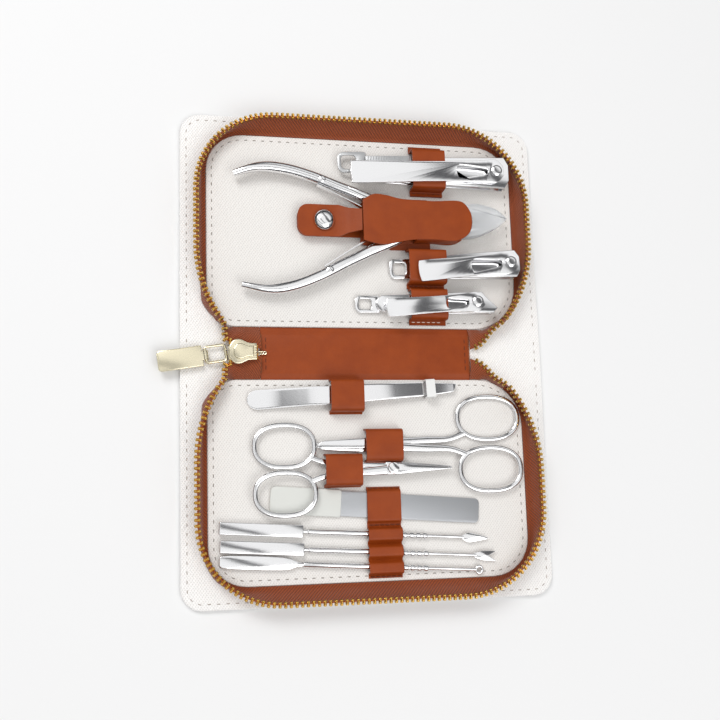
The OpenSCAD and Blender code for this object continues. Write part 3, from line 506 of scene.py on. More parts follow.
def coverHalf(side, sign):
    bm = bmesh.new()
    r = case["coverRadius"]
    outline = roundRect(coverLow.x, 0, coverHigh.x, coverHigh.y, (0.01, 0.01, r, r), 12)
    raiseUp(bm, [bm.faces.new([bm.verts.new((x, y, 0)) for x, y in outline])], coverTop)
    rim = [e for e in bm.edges if e.calc_face_angle(0) > 1 and (e.verts[0].co.y > 0.1 or e.verts[1].co.y > 0.1)
           and abs(e.verts[0].co.z - e.verts[1].co.z) < 0.1]
    roundOff(bm, rim, 0.7, 3)
    for y in (4, 7.5, 8.2, 8.8, 9.3, 9.7, 10.2, 10.8, 11.5, 30, 60):  # cuts across the half, close together at the crease
        geom = bm.verts[:] + bm.edges[:] + bm.faces[:]
        bmesh.ops.bisect_plane(bm, geom=geom, plane_co=(0, y, 0), plane_no=(0, 1, 0))
    mirrored(bm, sign)
    nodes = (side + "_cover",) + (("spine_cover",) if sign > 0 else ())
    finishPiece(side + "_cover_leather", bm, whiteCover, "spine", nodes, 50, side)
    bm = bmesh.new()
    x, y = coverHigh.x - threadInset["cover"], coverHigh.y - threadInset["cover"]
    r -= threadInset["cover"]
    edge = [(-x, 12)] + arc(-x + r, y - r, r, 180, 90, 8) + arc(x - r, y - r, r, 90, 0, 8) + [(x, 12)]
    stitches(bm, edge, 3.8, 1.5, coverTop, 0.14)
    mirrored(bm, sign)
    finishPiece(side + "_cover_stitches", bm, threadTan, side)


def panelHalf(side, sign):
    bm = bmesh.new()
    radii = [case[key] for key in ("panelLeftRadius", "panelRightRadius", "panelRadius", "panelRadius")]
    plate(bm, roundRect(panelLow.x, panelLow.y, panelHigh.x, panelHigh.y, radii), coverTop, panelTop, 0.55, 4)
    mirrored(bm, sign)
    finishPiece(side + "_panel_leather", bm, whitePanel, side, (side + "_panel",), 50)
    bm = bmesh.new()
    d = threadInset["panel"]
    line = roundRect(panelLow.x + d, panelLow.y + d, panelHigh.x - d, panelHigh.y - d, [r - d for r in radii], 10)
    stitches(bm, line + line[:1], 3.7, 1.5, panelTop, 0.17)
    mirrored(bm, sign)
    finishPiece(side + "_panel_stitches", bm, threadGrey, side)


def tapeHalf(side, sign):
    line = [p for p, d in stations(zipLine(), wall["pitch"])]
    edges = smoothed([panelEdge(p, 0.1) for p in line])
    feet = smoothed([panelEdge(p, wall["foot"]) for p in line])
    rows = []
    for i, p in enumerate(line):
        taper = max(0, 1 - i / wall["tapered"])  # the wall narrows towards the slider
        e, f = edges[i], feet[i].lerp(p, 0.75 * taper)
        out = (f - e).normalized()
        pucker = 0.22 * math.sin(i * 1.1) + 0.15 * math.sin(i * 0.37 + 1)
        row = [(*e, coverTop + 0.7), (*(e.lerp(f, 0.5)), coverTop + 0.45), (*f, coverTop + 1.0)]
        for t in (0.25, 0.5, 0.75):
            mid = f.lerp(p, t) + out * (0.5 + pucker) * (1 - taper) * math.sin(math.pi * t)
            row.append((*mid, coverTop + 1.0 + (teethTop - 1.6 - coverTop - 1.0) * t ** 0.85))
        row += [(*p, teethTop - 1.5), (*p, teethTop - 0.9)]
        rows.append([Vector(q) for q in row])
    bm = bmesh.new()
    tapeSheet(bm, rows, wall["thick"])
    mirrored(bm, sign)
    finishPiece(side + "_zip_tape_cloth", bm, tapeCloth, side, (side + "_zip_tape",), 50)
    bm = bmesh.new()
    places = stations(zipLine(), wall["pitch"], 1.3, 1.3)
    teethAlong(bm, [(p.to_3d() + Vector((0, 0, teethTop - 2.2)), d) for p, d in places], sign)
    finishPiece(side + "_brass_teeth", bm, brass, side, (side + "_zip_teeth",))


for side, sign in (("lid", 1), ("base", -1)):
    coverHalf(side, sign)
    panelHalf(side, sign)
    tapeHalf(side, sign)
print("cover, panels and zip walls ready")


# Spine: leather band, and the rows of teeth that run down to the slider and to the band

band = dict(
    halfLength=46.5, halfWidth=8.4, thickness=0.8, stitchInset=2.3,
    edge=((7.2, 0.7), (7.9, 0.8), (8.4, 0.82), (8.9, 0.74), (9.4, 0.6), (9.9, 0.46), (10.3, 0.36),
          (10.8, 0.3), (11.35, 0.28)))
sliderBox = boxOf("zip_slider")
channelTop = sliderBox[0].z + 0.7 + 2.6


def spineRows():
    line = zipLine()
    a, b = line[0], line[-1]
    leftRow = [(a.x, a.y, teethTop), (-62, creaseY + 1.4, teethTop - 1.8), (-61.4, 5.6, channelTop),
               (-58.2, 4.3, channelTop), (-54, 2.4, channelTop), (-46.4, 1.6, channelTop)]
    leftEnds = [panelEdge(a, 0.3).to_tuple(), (-60.5, 11), (-57, 11), (-54, 11), (-51, 11), (-46.8, 11)]
    rightRow = [(b.x, b.y, teethTop), (b.x - 5, creaseY + 0.6, teethTop - 2.6), (b.x - 9.5, 4.8, teethTop - 4.6),
                (46.5, 2, coverTop + 2.8)]
    rightEnds = [panelEdge(b, 0.3).to_tuple(), (b.x - 7, 11), (b.x - 11.5, 11), (46.0, 11)]
    return (("left", leftRow, leftEnds), ("right", rightRow, rightEnds))


def spineZip(sign, side):
    for end, row, ends in spineRows():
        tops = smoothLine(row, 5)
        foots = smoothLine([(*e, coverTop + 0.35) for e in ends], 5)
        rows = []
        for i, (t, f) in enumerate(zip(tops, foots)):
            t = t - Vector((0, 0, 1.3))
            wave = 0.25 * math.sin(i * 0.9)
            lifts = ((0, 0), (0.3, 0.5 + wave), (0.55, 0.7 + wave), (0.8, 0.4), (1, 0), (1, 0.4))
            rows.append([f.lerp(t, u) + Vector((0, 0, lift)) for u, lift in lifts])
        bm = bmesh.new()
        tapeSheet(bm, rows, 0.45)
        mirrored(bm, sign)
        nodes = ("spine_zip_tape",) if (sign, end) == (1, "left") else ()
        finishPiece(f"spine_{end}_tape_{side}", bm, tapeCloth, "spine", nodes, 60, side)
        bm = bmesh.new()
        teethAlong(bm, [(p - Vector((0, 0, 2.2)), d) for p, d in stations(tops, 2.3, 1.4, 0.6)], sign)
        nodes = ("spine_zip_teeth",) if (sign, end) == (1, "left") else ()
        finishPiece(f"spine_{end}_teeth_{side}", bm, brass, "spine", nodes, 35, side)


def spineBand():
    b = band
    bm = bmesh.new()
    plate(bm, roundRect(-b["halfLength"], -b["halfWidth"], b["halfLength"], b["halfWidth"], (0.4,) * 4), coverTop,
          coverTop + b["thickness"], 0.3, 3)
    finishPiece("spine_band_leather", bm, brownLeather, "spine", ("spine_band",), 50)
    for name, s in (("left", -1), ("right", 1)):
        bm = bmesh.new()
        x0, x1 = sorted((s * b["halfLength"], s * (b["halfLength"] - 0.7)))
        plate(bm, roundRect(x0 - 0.05, -b["halfWidth"], x1, b["halfWidth"], (0.2,) * 4), coverTop + 0.5,
              coverTop + b["thickness"] + 0.1, 0.25, 3)
        finishPiece(f"spine_band_{name}_fold", bm, paleEdge, "spine")
    bm = bmesh.new()
    for s in (-1, 1):
        x = s * (b["halfLength"] - b["stitchInset"])
        stitches(bm, [(x, -7.6), (x, 7.6)], 3.0, 1.9, coverTop + b["thickness"], 0.17)
    finishPiece("spine_band_stitches", bm, threadBrown, "spine")
    # The band's leather runs on under the panels' edges
    for side, sign in (("lid", 1), ("base", -1)):
        bm = bmesh.new()
        xs = [b["halfLength"] * k / 20 for k in range(-20, 21)]
        rows = [[(x, sign * y, coverTop + z) for x in xs] for y, z in b["edge"]]
        sheet(bm, rows, 0.4)
        finishPiece(f"spine_band_{side}_edge", bm, brownLeather, "spine", (), 50, side)
    bm = bmesh.new()
    for x in (threadInset["cover"] - coverHigh.x, coverHigh.x - threadInset["cover"]):
        stitches(bm, [(x, -8), (x, 8)], 3.8, 1.5, coverTop, 0.14)
    finishPiece("spine_cover_stitches", bm, threadTan, "spine")


spineBand()
spineZip(1, "lid")
spineZip(-1, "base")
print("spine ready")


# Slider and pull

slider = dict(x=sliderBox[1].x, length=11.6, width=10.4, plateZ=sliderBox[0].z, channel=2.6)
pull = dict(x=sliderBox[1].x - 12.8, z=coverTop + 2.2, tilt=8.5, link=8.4, armY=3.4, wire=0.6, tab=20, width=8.8)


def bellOutline(s):
    w, length = s["width"], s["length"]
    bell = smoothLine([(0, w * 0.34), (-0.3 * length, w * 0.36), (-0.6 * length, w / 2), (-0.85 * length, w * 0.46),
                       (-length, w * 0.22)])
    return [(p.x, p.y) for p in bell] + [(p.x, -p.y) for p in bell[::-1]]


def zipSlider():
    s = slider
    outline = bellOutline(s)[::-1]
    z = s["plateZ"]
    top = z + s["channel"]
    bm = bmesh.new()
    plate(bm, outline, z, z + 0.9, 0.3, 3)
    plate(bm, outline, top + 0.9, top + 2.0, 0.45, 4)
    plate(bm, [(x * 0.72 - 1.4, y * 0.62) for x, y in outline], top + 1.9, top + 2.8, 0.55, 4)
    turned(bm, [(0, 0), (0.8, 0), (0.8, 4.1), (0, 4.1)], (-s["length"] + 2.2, 0, z), steps=16)
    for k in range(5):  # flutes on the narrow end
        y = (k - 2) * 1.1
        tube(bm, [(-3.4, y * 1.05, z + 4.65), (-0.2, y, z + 4.6)], 0.4, 0.3, 8)
    bmesh.ops.translate(bm, verts=bm.verts, vec=(s["x"], 0, 0))
    finishPiece("zip_slider_body", bm, paleGold, "slider", ("zip_slider",))
    bm = bmesh.new()
    for k in range(3):  # short chain of links behind the slider
        loop = arc(-46.9 + k * 1.1, 0, 0.7, 0, 330, 11)
        tube(bm, [(x, y * 0.9, coverTop + 1.6 + 0.2 * (k % 2)) for x, y in loop], 0.22, 0.22, 8, closed=True)
    finishPiece("zip_chain_stub", bm, paleGold, "spine")


def zipPull():
    p = pull
    bm = bmesh.new()
    loop = roundRect(-p["link"], -p["armY"], 0, p["armY"], (1.0,) * 4, 5)
    tube(bm, [(x, y, p["z"]) for x, y in loop], p["wire"], closed=True)
    place(bm, bm.verts, p["x"], 0, p["tilt"])
    finishPiece("zip_pull_wire", bm, paleGold, "pull_link", ("zip_pull_link",))
    bm = bmesh.new()
    w, x0, x1 = p["width"] / 2, -p["link"] - p["tab"], -p["link"] - 1.4
    outline = [(x0 + 1, -w), (x1, -w), (x1, -2.1), (x1 + 1.5, -1.9), (x1 + 1.5, 1.9), (x1, 2.1), (x1, w), (x0 + 1, w),
               (x0, w - 1), (x0, 1 - w)]
    plate(bm, outline, p["z"] - 0.8, p["z"] + 0.8, 0.4, 4)
    tube(bm, [(-p["link"], -1.9, p["z"]), (-p["link"], 1.9, p["z"])], 1.15, sides=20)
    place(bm, bm.verts, p["x"], 0, p["tilt"])
    finishPiece("zip_pull_plate", bm, paleGold, "pull_tab", ("zip_pull_tab",))


zipSlider()
zipPull()
print("slider and pull ready")


# Nippers: two crossed halves, leaf springs and a pivot pin

nippers = dict(
    at=(29.7, 58.6), turn=3.8, low=5.3, middle=7.93, high=10.56, thick=2.6, disc=6.5, bulge=2.2,
    handle=[(-86, 24.4), (-75, 27), (-64, 26), (-52, 22.2), (-40, 16.9), (-28, 11.8), (-14, 5.6),
            (-4, 1.2)],
    jaw=[(0, -5.6), (9, -5.8), (11, -5.6), (11, -1), (7.6, -0.8), (0, -0.3)],
    tip=[(7.6, -5.8), (18, -5.2), (27.5, -3.2), (28.5, -2.3), (7.6, -0.8)],
    leaf=[(-50, 18.3), (-40, 12.6), (-30, 7.2), (-22, 3.2), (-17, 1.7)], leafHalf=1.4, leafThick=0.3)


def flip(points, side):
    return [(x, y * side) for x, y in points]


def nipperHalf(part, side, low):
    n = nippers
    bm = bmesh.new()
    line = smoothLine(flip(n["handle"], side), 6)
    layer = low + (n["high"] - n["low"]) / 4

    # A handle is thick and round, and flattens into its own layer near the pin
    def inLayer(x):
        return min(1, max(0, (x + 34) / 20))

    def halfWidth(t):
        x = line[round(t * (len(line) - 1))].x
        return 0.5 * (2.6 + 2.2 * min(1, (x + 87) / 18) + max(0, (x + 30) * 0.1))

    def halfHeight(t):
        x = line[round(t * (len(line) - 1))].x
        return (n["bulge"] + (1.27 - n["bulge"]) * inLayer(x)) * (0.55 + 0.45 * min(1, (x + 86.5) / 6))
    path = [(p.x, p.y, n["middle"] + (layer - n["middle"]) * inLayer(p.x)) for p in line]
    tube(bm, path, halfWidth, halfHeight, sides=16, power=0.8)
    plate(bm, arc(0, 0, n["disc"], 0, 350, 36), low, low + n["thick"], 0.3)
    plate(bm, flip(n["jaw"], side)[::side], low, low + n["thick"], 0.25)
    plate(bm, flip(n["tip"], side)[::side], n["middle"] - n["bulge"], n["middle"] + n["bulge"], 0.6, 3)
    dress(bm, f"nipper_{part}_half", chrome, "nipper_" + part, n, 50)


def nipperSpring(part, side):
    n = nippers
    z = n["middle"]
    bm = bmesh.new()
    leaf = [(x, y, z) for x, y in smoothLine(flip(n["leaf"], side), 4)]
    tube(bm, leaf, n["leafThick"], n["leafHalf"], power=0.35)
    head = [(0, z + 2.9), (1.1, z + 2.85), (1.6, z + 2.55), (1.6, z + 2.2), (0, z + 2.2)]
    turned(bm, head, (-48, 20.3 * side, 0))
    dress(bm, f"nipper_{part}_spring", chrome, "nipper_" + part, n)


def nipperPin():
    low, high = nippers["low"], nippers["high"]
    bm = bmesh.new()
    profile = [(0, low), (1.8, low), (2, low + 0.2), (2, high - 0.2), (1.8, high), (0, high)]
    turned(bm, profile, (*nippers["at"], 0))
    dress(bm, "nipper_pivot_pin", chrome, "lid")


nipperHalf("upper", 1, nippers["low"])
nipperHalf("lower", -1, nippers["middle"] + 0.03)
nipperSpring("upper", 1)
nipperSpring("lower", -1)
nipperPin()
print("nippers ready")


# Leather sheath over the nippers: a glued bag, a flap that passes between the handles and a snap

sheath = dict(
    low=4.25, bottom=4.95, top=11.09, high=11.89, edge=0.3, back=(-30, 51.4, -2, 64.4),
    outline=[(-2, 66.6), (3, 69.4), (9, 69), (16, 67.6), (30, 67.2), (41, 67.8), (45, 66), (47.5, 61),
             (46.4, 53.6), (40, 49.4), (30, 49.6), (20, 49.2), (9, 47), (4, 47), (-2, 48.6)],
    walls=[[(17.5, 67.2), (30, 66.9), (41, 67.3)], [(22, 49.6), (30, 49.9), (41, 49.8)]], wallHalf=0.4)
flap = dict(
    start=-30, level=7.65, corner=4.5, thick=0.8, snap=(-18.5, 58.0),
    low=[(-30, 50.8), (-12, 50.8), (-8, 52.4), (-2, 53.2)],
    high=[(-30, 65), (-12, 65), (-8, 63.6), (-2, 62.4)],
    profile=[(-30, 7.65), (-26, 7.65), (-22, 7.65), (-18, 7.65), (-14, 7.68), (-11, 8.1), (-8, 8.85),
             (-5.2, 10.2), (-2.4, 11.44)],
    cap=[(0, 10.15), (1.3, 10.1), (2.5, 9.88), (3.5, 9.45), (4.2, 8.9), (4.6, 8.4), (4.6, 8.2), (4.45, 8.05),
         (0, 8.05)],
    socket=[(0, 4.95), (3.5, 4.95), (3.7, 5.1), (3.7, 6.6), (3.5, 6.75), (2.4, 6.75), (2.2, 6.5), (0, 6.5)])
guard = dict(low=5.08, high=10.78, outline=[(42.5, 51.6), (50.5, 52.4), (58.8, 56), (63.8, 59.8), (63.8, 61.6),
                                            (58.8, 65.3), (50.5, 67.2), (42.5, 66.2)])
nipperStrap = dict(outline=(11, 46.4, 30, 70), low=3.4, high=4.2)


# A closed ring of points, moved inwards
def inset(ring, depth):
    n = len(ring)
    area = sum(ring[i - 1].cross(ring[i]) for i in range(n))
    found = []
    for i, p in enumerate(ring):
        d = (ring[(i + 1) % n] - ring[i - 1]).normalized()
        found.append(p + Vector((-d.y, d.x)) * (depth if area > 0 else -depth))
    return found


# Height of a line of points at x
def heightAt(line, x):
    for (x0, z0), (x1, z1) in zip(line, line[1:]):
        if x <= x1:
            return z0 + (z1 - z0) * (x - x0) / (x1 - x0)
    return line[-1][1]


def nipperSheath():
    s = sheath
    bm = bmesh.new()
    outline = smoothLine(s["outline"], 5)
    plate(bm, outline, s["top"], s["high"], s["edge"], 3)
    plate(bm, outline, s["low"], s["bottom"], s["edge"])
    plate(bm, roundRect(*s["back"], [4.5, 0.2, 0.2, 4.5]), s["low"], s["bottom"], s["edge"])
    for wall in s["walls"]:
        line = [(x, y, (s["top"] + s["bottom"]) / 2) for x, y in smoothLine(wall, 3)]
        tube(bm, line, s["wallHalf"], (s["top"] - s["bottom"]) / 2 + 0.1, power=0.4)
    dress(bm, "nipper_sheath", brownLeather, "lid")


def nipperFlap():
    f = flap
    bm = bmesh.new()
    start, r = f["start"], f["corner"]
    line = [(start + r * (1 - math.cos(math.radians(a))), f["level"]) for a in range(0, 90, 10)]
    line += [p for p in smoothLine(f["profile"], 3) if p[0] > start + r - 0.1]
    rows = []
    for x, z in line:
        short = max(0, r - (x - start))
        cut = r - math.sqrt(max(0, r ** 2 - short ** 2))  # round corners at the loose end
        y0, y1 = heightAt(f["low"], x) + cut, heightAt(f["high"], x) - cut
        rows.append([(x, y, z) for y in between(y0, y1, 8)])
    sheet(bm, rows, f["thick"])
    dress(bm, "nipper_flap", brownLeather, "flap")
    bm = bmesh.new()
    turned(bm, f["cap"], (*f["snap"], 0), steps=48)
    dress(bm, "nipper_snap_cap", chrome, "flap", None, 60)
    bm = bmesh.new()
    turned(bm, f["socket"], (*f["snap"], 0))
    dress(bm, "nipper_snap_socket", chrome, "lid")


def tipGuard():
    low, high = guard["low"], guard["high"]
    bm = bmesh.new()
    outline = smoothLine(guard["outline"], 4)
    levels = ((low, 0.6), (low + 0.2, 0.15), (low + 0.8, 0), (high - 0.8, 0), (high - 0.2, 0.2), (high, 0.8))
    loft(bm, [[(p.x, p.y, z) for p in inset(outline, inward)] for z, inward in levels])
    dress(bm, "nipper_tip_guard", clearPlastic, "lid", None, 50)
    bm = bmesh.new()
    plate(bm, roundRect(*nipperStrap["outline"], [1] * 4), nipperStrap["low"], nipperStrap["high"])
    dress(bm, "nipper_strap", brownLeather, "lid")


nipperSheath()
nipperFlap()
tipGuard()
print("sheath ready")


# Clippers: two sprung blades, a lever turned back over them, a pin and a rivet

clippers = dict(
    large=dict(at=(60, 82.4), turn=0, back=63.7, width=14.4, front=6.8, gap=3.4, slant=0, eye=0, lever=10.9,
               leverTurn=3, leverLength=66.7, leverWidth=10.4, window=18.6, rivetTop=8.6),
    medium=dict(at=(64.4, 40.2), turn=3, back=46.9, width=12.4, front=5.6, gap=3.0, slant=0, eye=12.4, lever=11.3,
                leverTurn=4, leverLength=42.4, leverWidth=9.7, window=18.6, rivetTop=6.8),
    small=dict(at=(48.6, 22.4), turn=1, back=47, width=9.6, front=5, gap=2.2, slant=-5, eye=10.56, lever=9.6,
               leverTurn=4, leverLength=41, leverWidth=8.3, window=14.6, rivetTop=7.2))
blades = dict(low=4.0, thick=1.2, weld=5.25, bevel=0.25, leverThick=1.5, leverBevel=0.3)
fileLeaf = dict(low=1.22, high=2.1, at=(-59.7, 2.88), turn=2, grooves=20, pitch=1.2)


def bladeOutline(c):
    w, f = c["width"], c["front"]
    return ([(f - c["slant"] - 2, -w / 2), (f - c["slant"], -w / 4), (f, w / 4), (f - 2, w / 2)]
            + arc(-c["back"] + 0.62 * w, 0, 0.38 * w, 90, 270, 14))


def leverOutline(c):
    w, end = c["leverWidth"], -c["leverLength"]
    side = [(3.4, -0.2 * w), (0, -w / 2), (-8, -0.46 * w), (end / 2, -0.44 * w), (end + 3, -0.48 * w),
            (end, -0.36 * w)]
    return smoothLine(side + flip(side[::-1], -1), 5)


def leverWindow(c):
    w, end = c["leverWidth"], c["window"]
    half = [(-3.8, 0), (-4.2, 0.12 * w), (-10, 0.22 * w), (2.2 - end, 0.3 * w), (0.6 - end, 0.24 * w), (-end, 0)]
    return smoothLine(half + flip(half[-2:0:-1], -1) + half[:1], 3)[-2::-1]


# The upper blade leans up from the weld at the back of the lower one
def leaning(c):
    rise = math.asin(c["gap"] / c["back"])
    return Matrix.Translation((-c["back"], 0, blades["weld"])) @ Matrix.Rotation(-rise, 4, "Y")


def clipper(size):
    c, b = clippers[size], blades
    w, end, eye, z = c["width"], -c["back"], c["eye"], c["lever"]
    low, high = b["low"], b["low"] + b["thick"]
    name = size + "_clipper_"
    bm = bmesh.new()
    plate(bm, bladeOutline(c), low, high, b["bevel"], 3)
    if eye:
        tail = roundRect(end - 7, -0.36 * eye, end + 4, 0.36 * eye, [2.4, 0.6, 0.6, 2.4])
        slot = roundRect(end - 5.2, -0.22 * eye, end + 0.4, 0.22 * eye, [1.4] * 4)
        plate(bm, tail, low, high, b["bevel"], 3, slot)
    dress(bm, name + "lower_blade", chrome, "lid", c)
    bm = bmesh.new()
    plate(bm, bladeOutline(c), 0, b["thick"], b["bevel"], 3)
    bmesh.ops.transform(bm, matrix=leaning(c) @ Matrix.Translation((-end, 0, 0)), verts=bm.verts)
    dress(bm, name + "upper_blade", chrome, size + "_upper", c)
    bm = bmesh.new()
    plate(bm, leverOutline(c), z, z + b["leverThick"], b["leverBevel"], 3, leverWindow(c))
    place(bm, bm.verts, 0, 0, c["leverTurn"])
    dress(bm, name + "lever", chrome, size + "_lever", c)
    bm = bmesh.new()
    foot = [(0, 3.5), (2.3, 3.5), (2.4, 3.6), (2.4, 3.85), (2.3, 3.95), (1.5, 3.95)]
    head = [(1.5, 1.6), (2.2, 1.65), (2.4, 1.85), (2.35, 2.3), (1.9, 2.6), (1.2, 2.65), (0, 2.65)]
    turned(bm, foot + [(r, z + h) for r, h in head], (0, 0, 0))
    dress(bm, name + "pin", chrome, size + "_lever", c)
    bm = bmesh.new()
    top = c["rivetTop"]
    turned(bm, [(0, 3.6), (1, 3.6), (1.1, 3.7), (1.1, top - 0.3), (0.8, top - 0.05), (0, top)],
           (end + 0.62 * w + 4, 0, 0))
    dress(bm, name + "rivet", chrome, "lid", c)


def clipperFile():
    c, f = clippers["large"], fileLeaf
    low, high = f["low"], f["high"]
    bm = bmesh.new()
    plate(bm, roundRect(0, -2.6, 26, 2.8, [0.6, 1.6, 1.6, 0.6]), low, high, 0.12)
    plate(bm, roundRect(-12, -4.8, 1, 4.8, [3, 1.4, 1.4, 3]), low, high, 0.25, 3,
          roundRect(-10.4, -3.2, -3.6, 3.2, [2] * 4))
    for i in range(f["grooves"]):
        x = 1.6 + f["pitch"] * i
        tube(bm, [(x - 0.5, -2.2, high - 0.02), (x + 0.5, 2.4, high - 0.02)], 0.2, sides=6)
    place(bm, bm.verts, f["at"][0] + c["back"], f["at"][1], f["turn"])
    bmesh.ops.transform(bm, matrix=leaning(c), verts=bm.verts)
    dress(bm, "large_clipper_file", satinSteel, "lid", c)


for size in clippers:
    clipper(size)
clipperFile()
print("clippers ready")


# Straps and loops: leather strips that climb over the tools, with thread across their feet

straps = dict(
    large_clipper_strap=dict(x=(21.5, 36.5), y=(71.4, 74.2, 91.4, 94.6), top=10.4),
    medium_clipper_strap=dict(x=(18.5, 35.5), y=(28.8, 31.2, 45.6, 46.2), top=9.8),
    small_clipper_strap=dict(x=(19, 35.5), y=(12.6, 15.2, 27.9, 28.7), top=9.0))
loops = [dict(x=(-17.6, -3.4), y=(-26.4, -25, -12.2, -11.5), top=9.2),
         dict(x=(-3, 13), y=(-47.2, -46.2, -33.4, -32.6), top=8.6),
         dict(x=(-20.6, -5), y=(-57.3, -56.2, -43.8, -43), top=9.3)]
strip = dict(thick=0.8, foot=3.8, steps=8, threadLevel=4.24)


def strapLine(s):
    y0, y1, y2, y3 = s["y"]
    low, top = strip["foot"], s["top"] - 0.4
    return smoothLine([(y0, low), (y1, low), (y1 + 0.35, top - 1), (y1 + 1.3, top), (y1 + 4, top + 0.12),
                       ((y1 + y2) / 2, top + 0.2), (y2 - 4, top + 0.12), (y2 - 1.3, top), (y2 - 0.35, top - 1),
                       (y2, low), (y3, low)], 3)


def strapSheet(bm, line, ends):
    sheet(bm, [[(x, y, z) for x in between(*ends, strip["steps"])] for y, z in line], strip["thick"])


def threadRow(bm, x, y):
    stitches(bm, [(x[0] + 0.6, y), (x[1] - 0.6, y)], 2.3, 1.7, strip["threadLevel"], 0.2)


for name, s in straps.items():
    bm = bmesh.new()
    strapSheet(bm, strapLine(s), s["x"])
    dress(bm, name, brownLeather, "lid", None, 50)
bm = bmesh.new()
for name in ("large_clipper_strap", "medium_clipper_strap"):
    y0, y1, y2, y3 = straps[name]["y"]
    threadRow(bm, straps[name]["x"], (y0 + y1) / 2)
    threadRow(bm, straps[name]["x"], (y2 + y3) / 2)
finishPiece("lid_strap_stitches", bm, threadBrown, "lid")
bm = bmesh.new()
threadRow(bm, straps["small_clipper_strap"]["x"], sum(straps["small_clipper_strap"]["y"][:2]) / 2)
finishPiece("small_strap_stitches", bm, threadWhite, "lid")
bm = bmesh.new()
for s in loops:
    strapSheet(bm, strapLine(s), s["x"])
dress(bm, "scissors_and_tweezers_loops", brownLeather, "base", None, 50)
print("straps ready")


# Scissors: two crossed halves each, with oval wire rings and a screw

scissors = dict(
    blunt=dict(at=(4.6, -39.6), low=3.7, high=5.23, thin=2.6, thinAt=0.75, ring=(48, 11.2), radii=(13.8, 9.3),
               blade=[(3, -3), (-6, -2.9), (-24, -1.9), (-27, -0.9), (-28, 0.6), (-26, 1.2), (-6, 1.4), (3, 1.6)],
               shank=[(-2, -0.4), (8, 1), (20, 1.8), (30, 2.2), (37, 4.6)]),
    pointed=dict(at=(8.6, -49.6), low=5.0, high=6.53, thin=2.4, thinAt=0.5, ring=(-46, 9.9), radii=(12.6, 8.8),
                 blade=[(-3, 2.6), (3, 2.6), (8, 2.2), (26, 0.6), (26.4, 0.1), (8, -1.6), (-3, -2)],
                 shank=[(2, 0.4), (-10, 1.3), (-22, 2), (-30, 3.2), (-35, 5)]))
wire = dict(half=1.1, thick=1.5, edge=0.3, wide=4.4)
screw = dict(rise=3.05, head=[(2.45, 0), (2.5, 0.15), (2.3, 0.5), (1.6, 0.68), (0, 0.7)])


def scissorHalf(kind, part, side, z, body):
    s = scissors[kind]
    bm = bmesh.new()
    edge = smoothLine(s["blade"], 3) if kind == "blunt" else s["blade"]
    plate(bm, flip(edge, side)[::side], z, z + wire["thick"], wire["edge"])
    half, wide = wire["thick"] / 2, wire["wide"]
    shank = [(x, y, z + half) for x, y in smoothLine(flip(s["shank"], side), 4)]
    tube(bm, shank, lambda t: 0.5 * (wide + (s["thin"] - wide) * min(1, t / s["thinAt"])), half, sides=16, power=0.7)
    ring = []
    for a in range(0, 360, 6):
        c, r = oval(math.radians(a), 0.86)
        ring.append((s["ring"][0] + s["radii"][0] * c, s["ring"][1] * side + s["radii"][1] * r, z + half))
    tube(bm, ring, wire["half"], half, sides=16, closed=True, power=0.85)
    dress(bm, f"{kind}_scissors_{part}_half", chrome, body, s, 45)


for kind, s in scissors.items():
    scissorHalf(kind, "fixed", 1, s["low"], "base")
    scissorHalf(kind, "moving", -1, s["high"], kind + "_moving")
bm = bmesh.new()
for s in scissors.values():
    low, top = s["low"], s["low"] + screw["rise"]
    shaft = [(0, low), (1.4, low), (1.5, low + 0.1), (1.5, top)]
    turned(bm, shaft + [(r, top + z) for r, z in screw["head"]], (*s["at"], 0))
dress(bm, "scissors_screws", chrome, "base")
print("scissors ready")


# Tweezers: a flat lower arm, a sprung upper arm and the sleeve that keeps the tips shut

tweezers = dict(
    at=(-52.6, -20.4), turn=3.4, low=3.5, thick=1.0, springs=5.02,
    path=[(0, 0), (10, 0.2), (30, 2.2), (60, 2.2), (85.5, 0.9), (91.5, 0.9)],
    edge=[(50, -3.6), (78, -2.9), (89.9, -1.9), (91.5, 1.5), (78, 2.9), (50, 3.6)],
    sleeve=(77, 81), sleeveHalf=4.0, sleeveTop=8.9)


# Lowest and highest point of an outline at x
def acrossAt(outline, x):
    ys = []
    for a, b in zip(outline, outline[1:] + outline[:1]):
        if (a[0] - x) * (b[0] - x) <= 0 and a[0] != b[0]:
            ys.append(a[1] + (b[1] - a[1]) * (x - a[0]) / (b[0] - a[0]))
    return min(ys), max(ys)


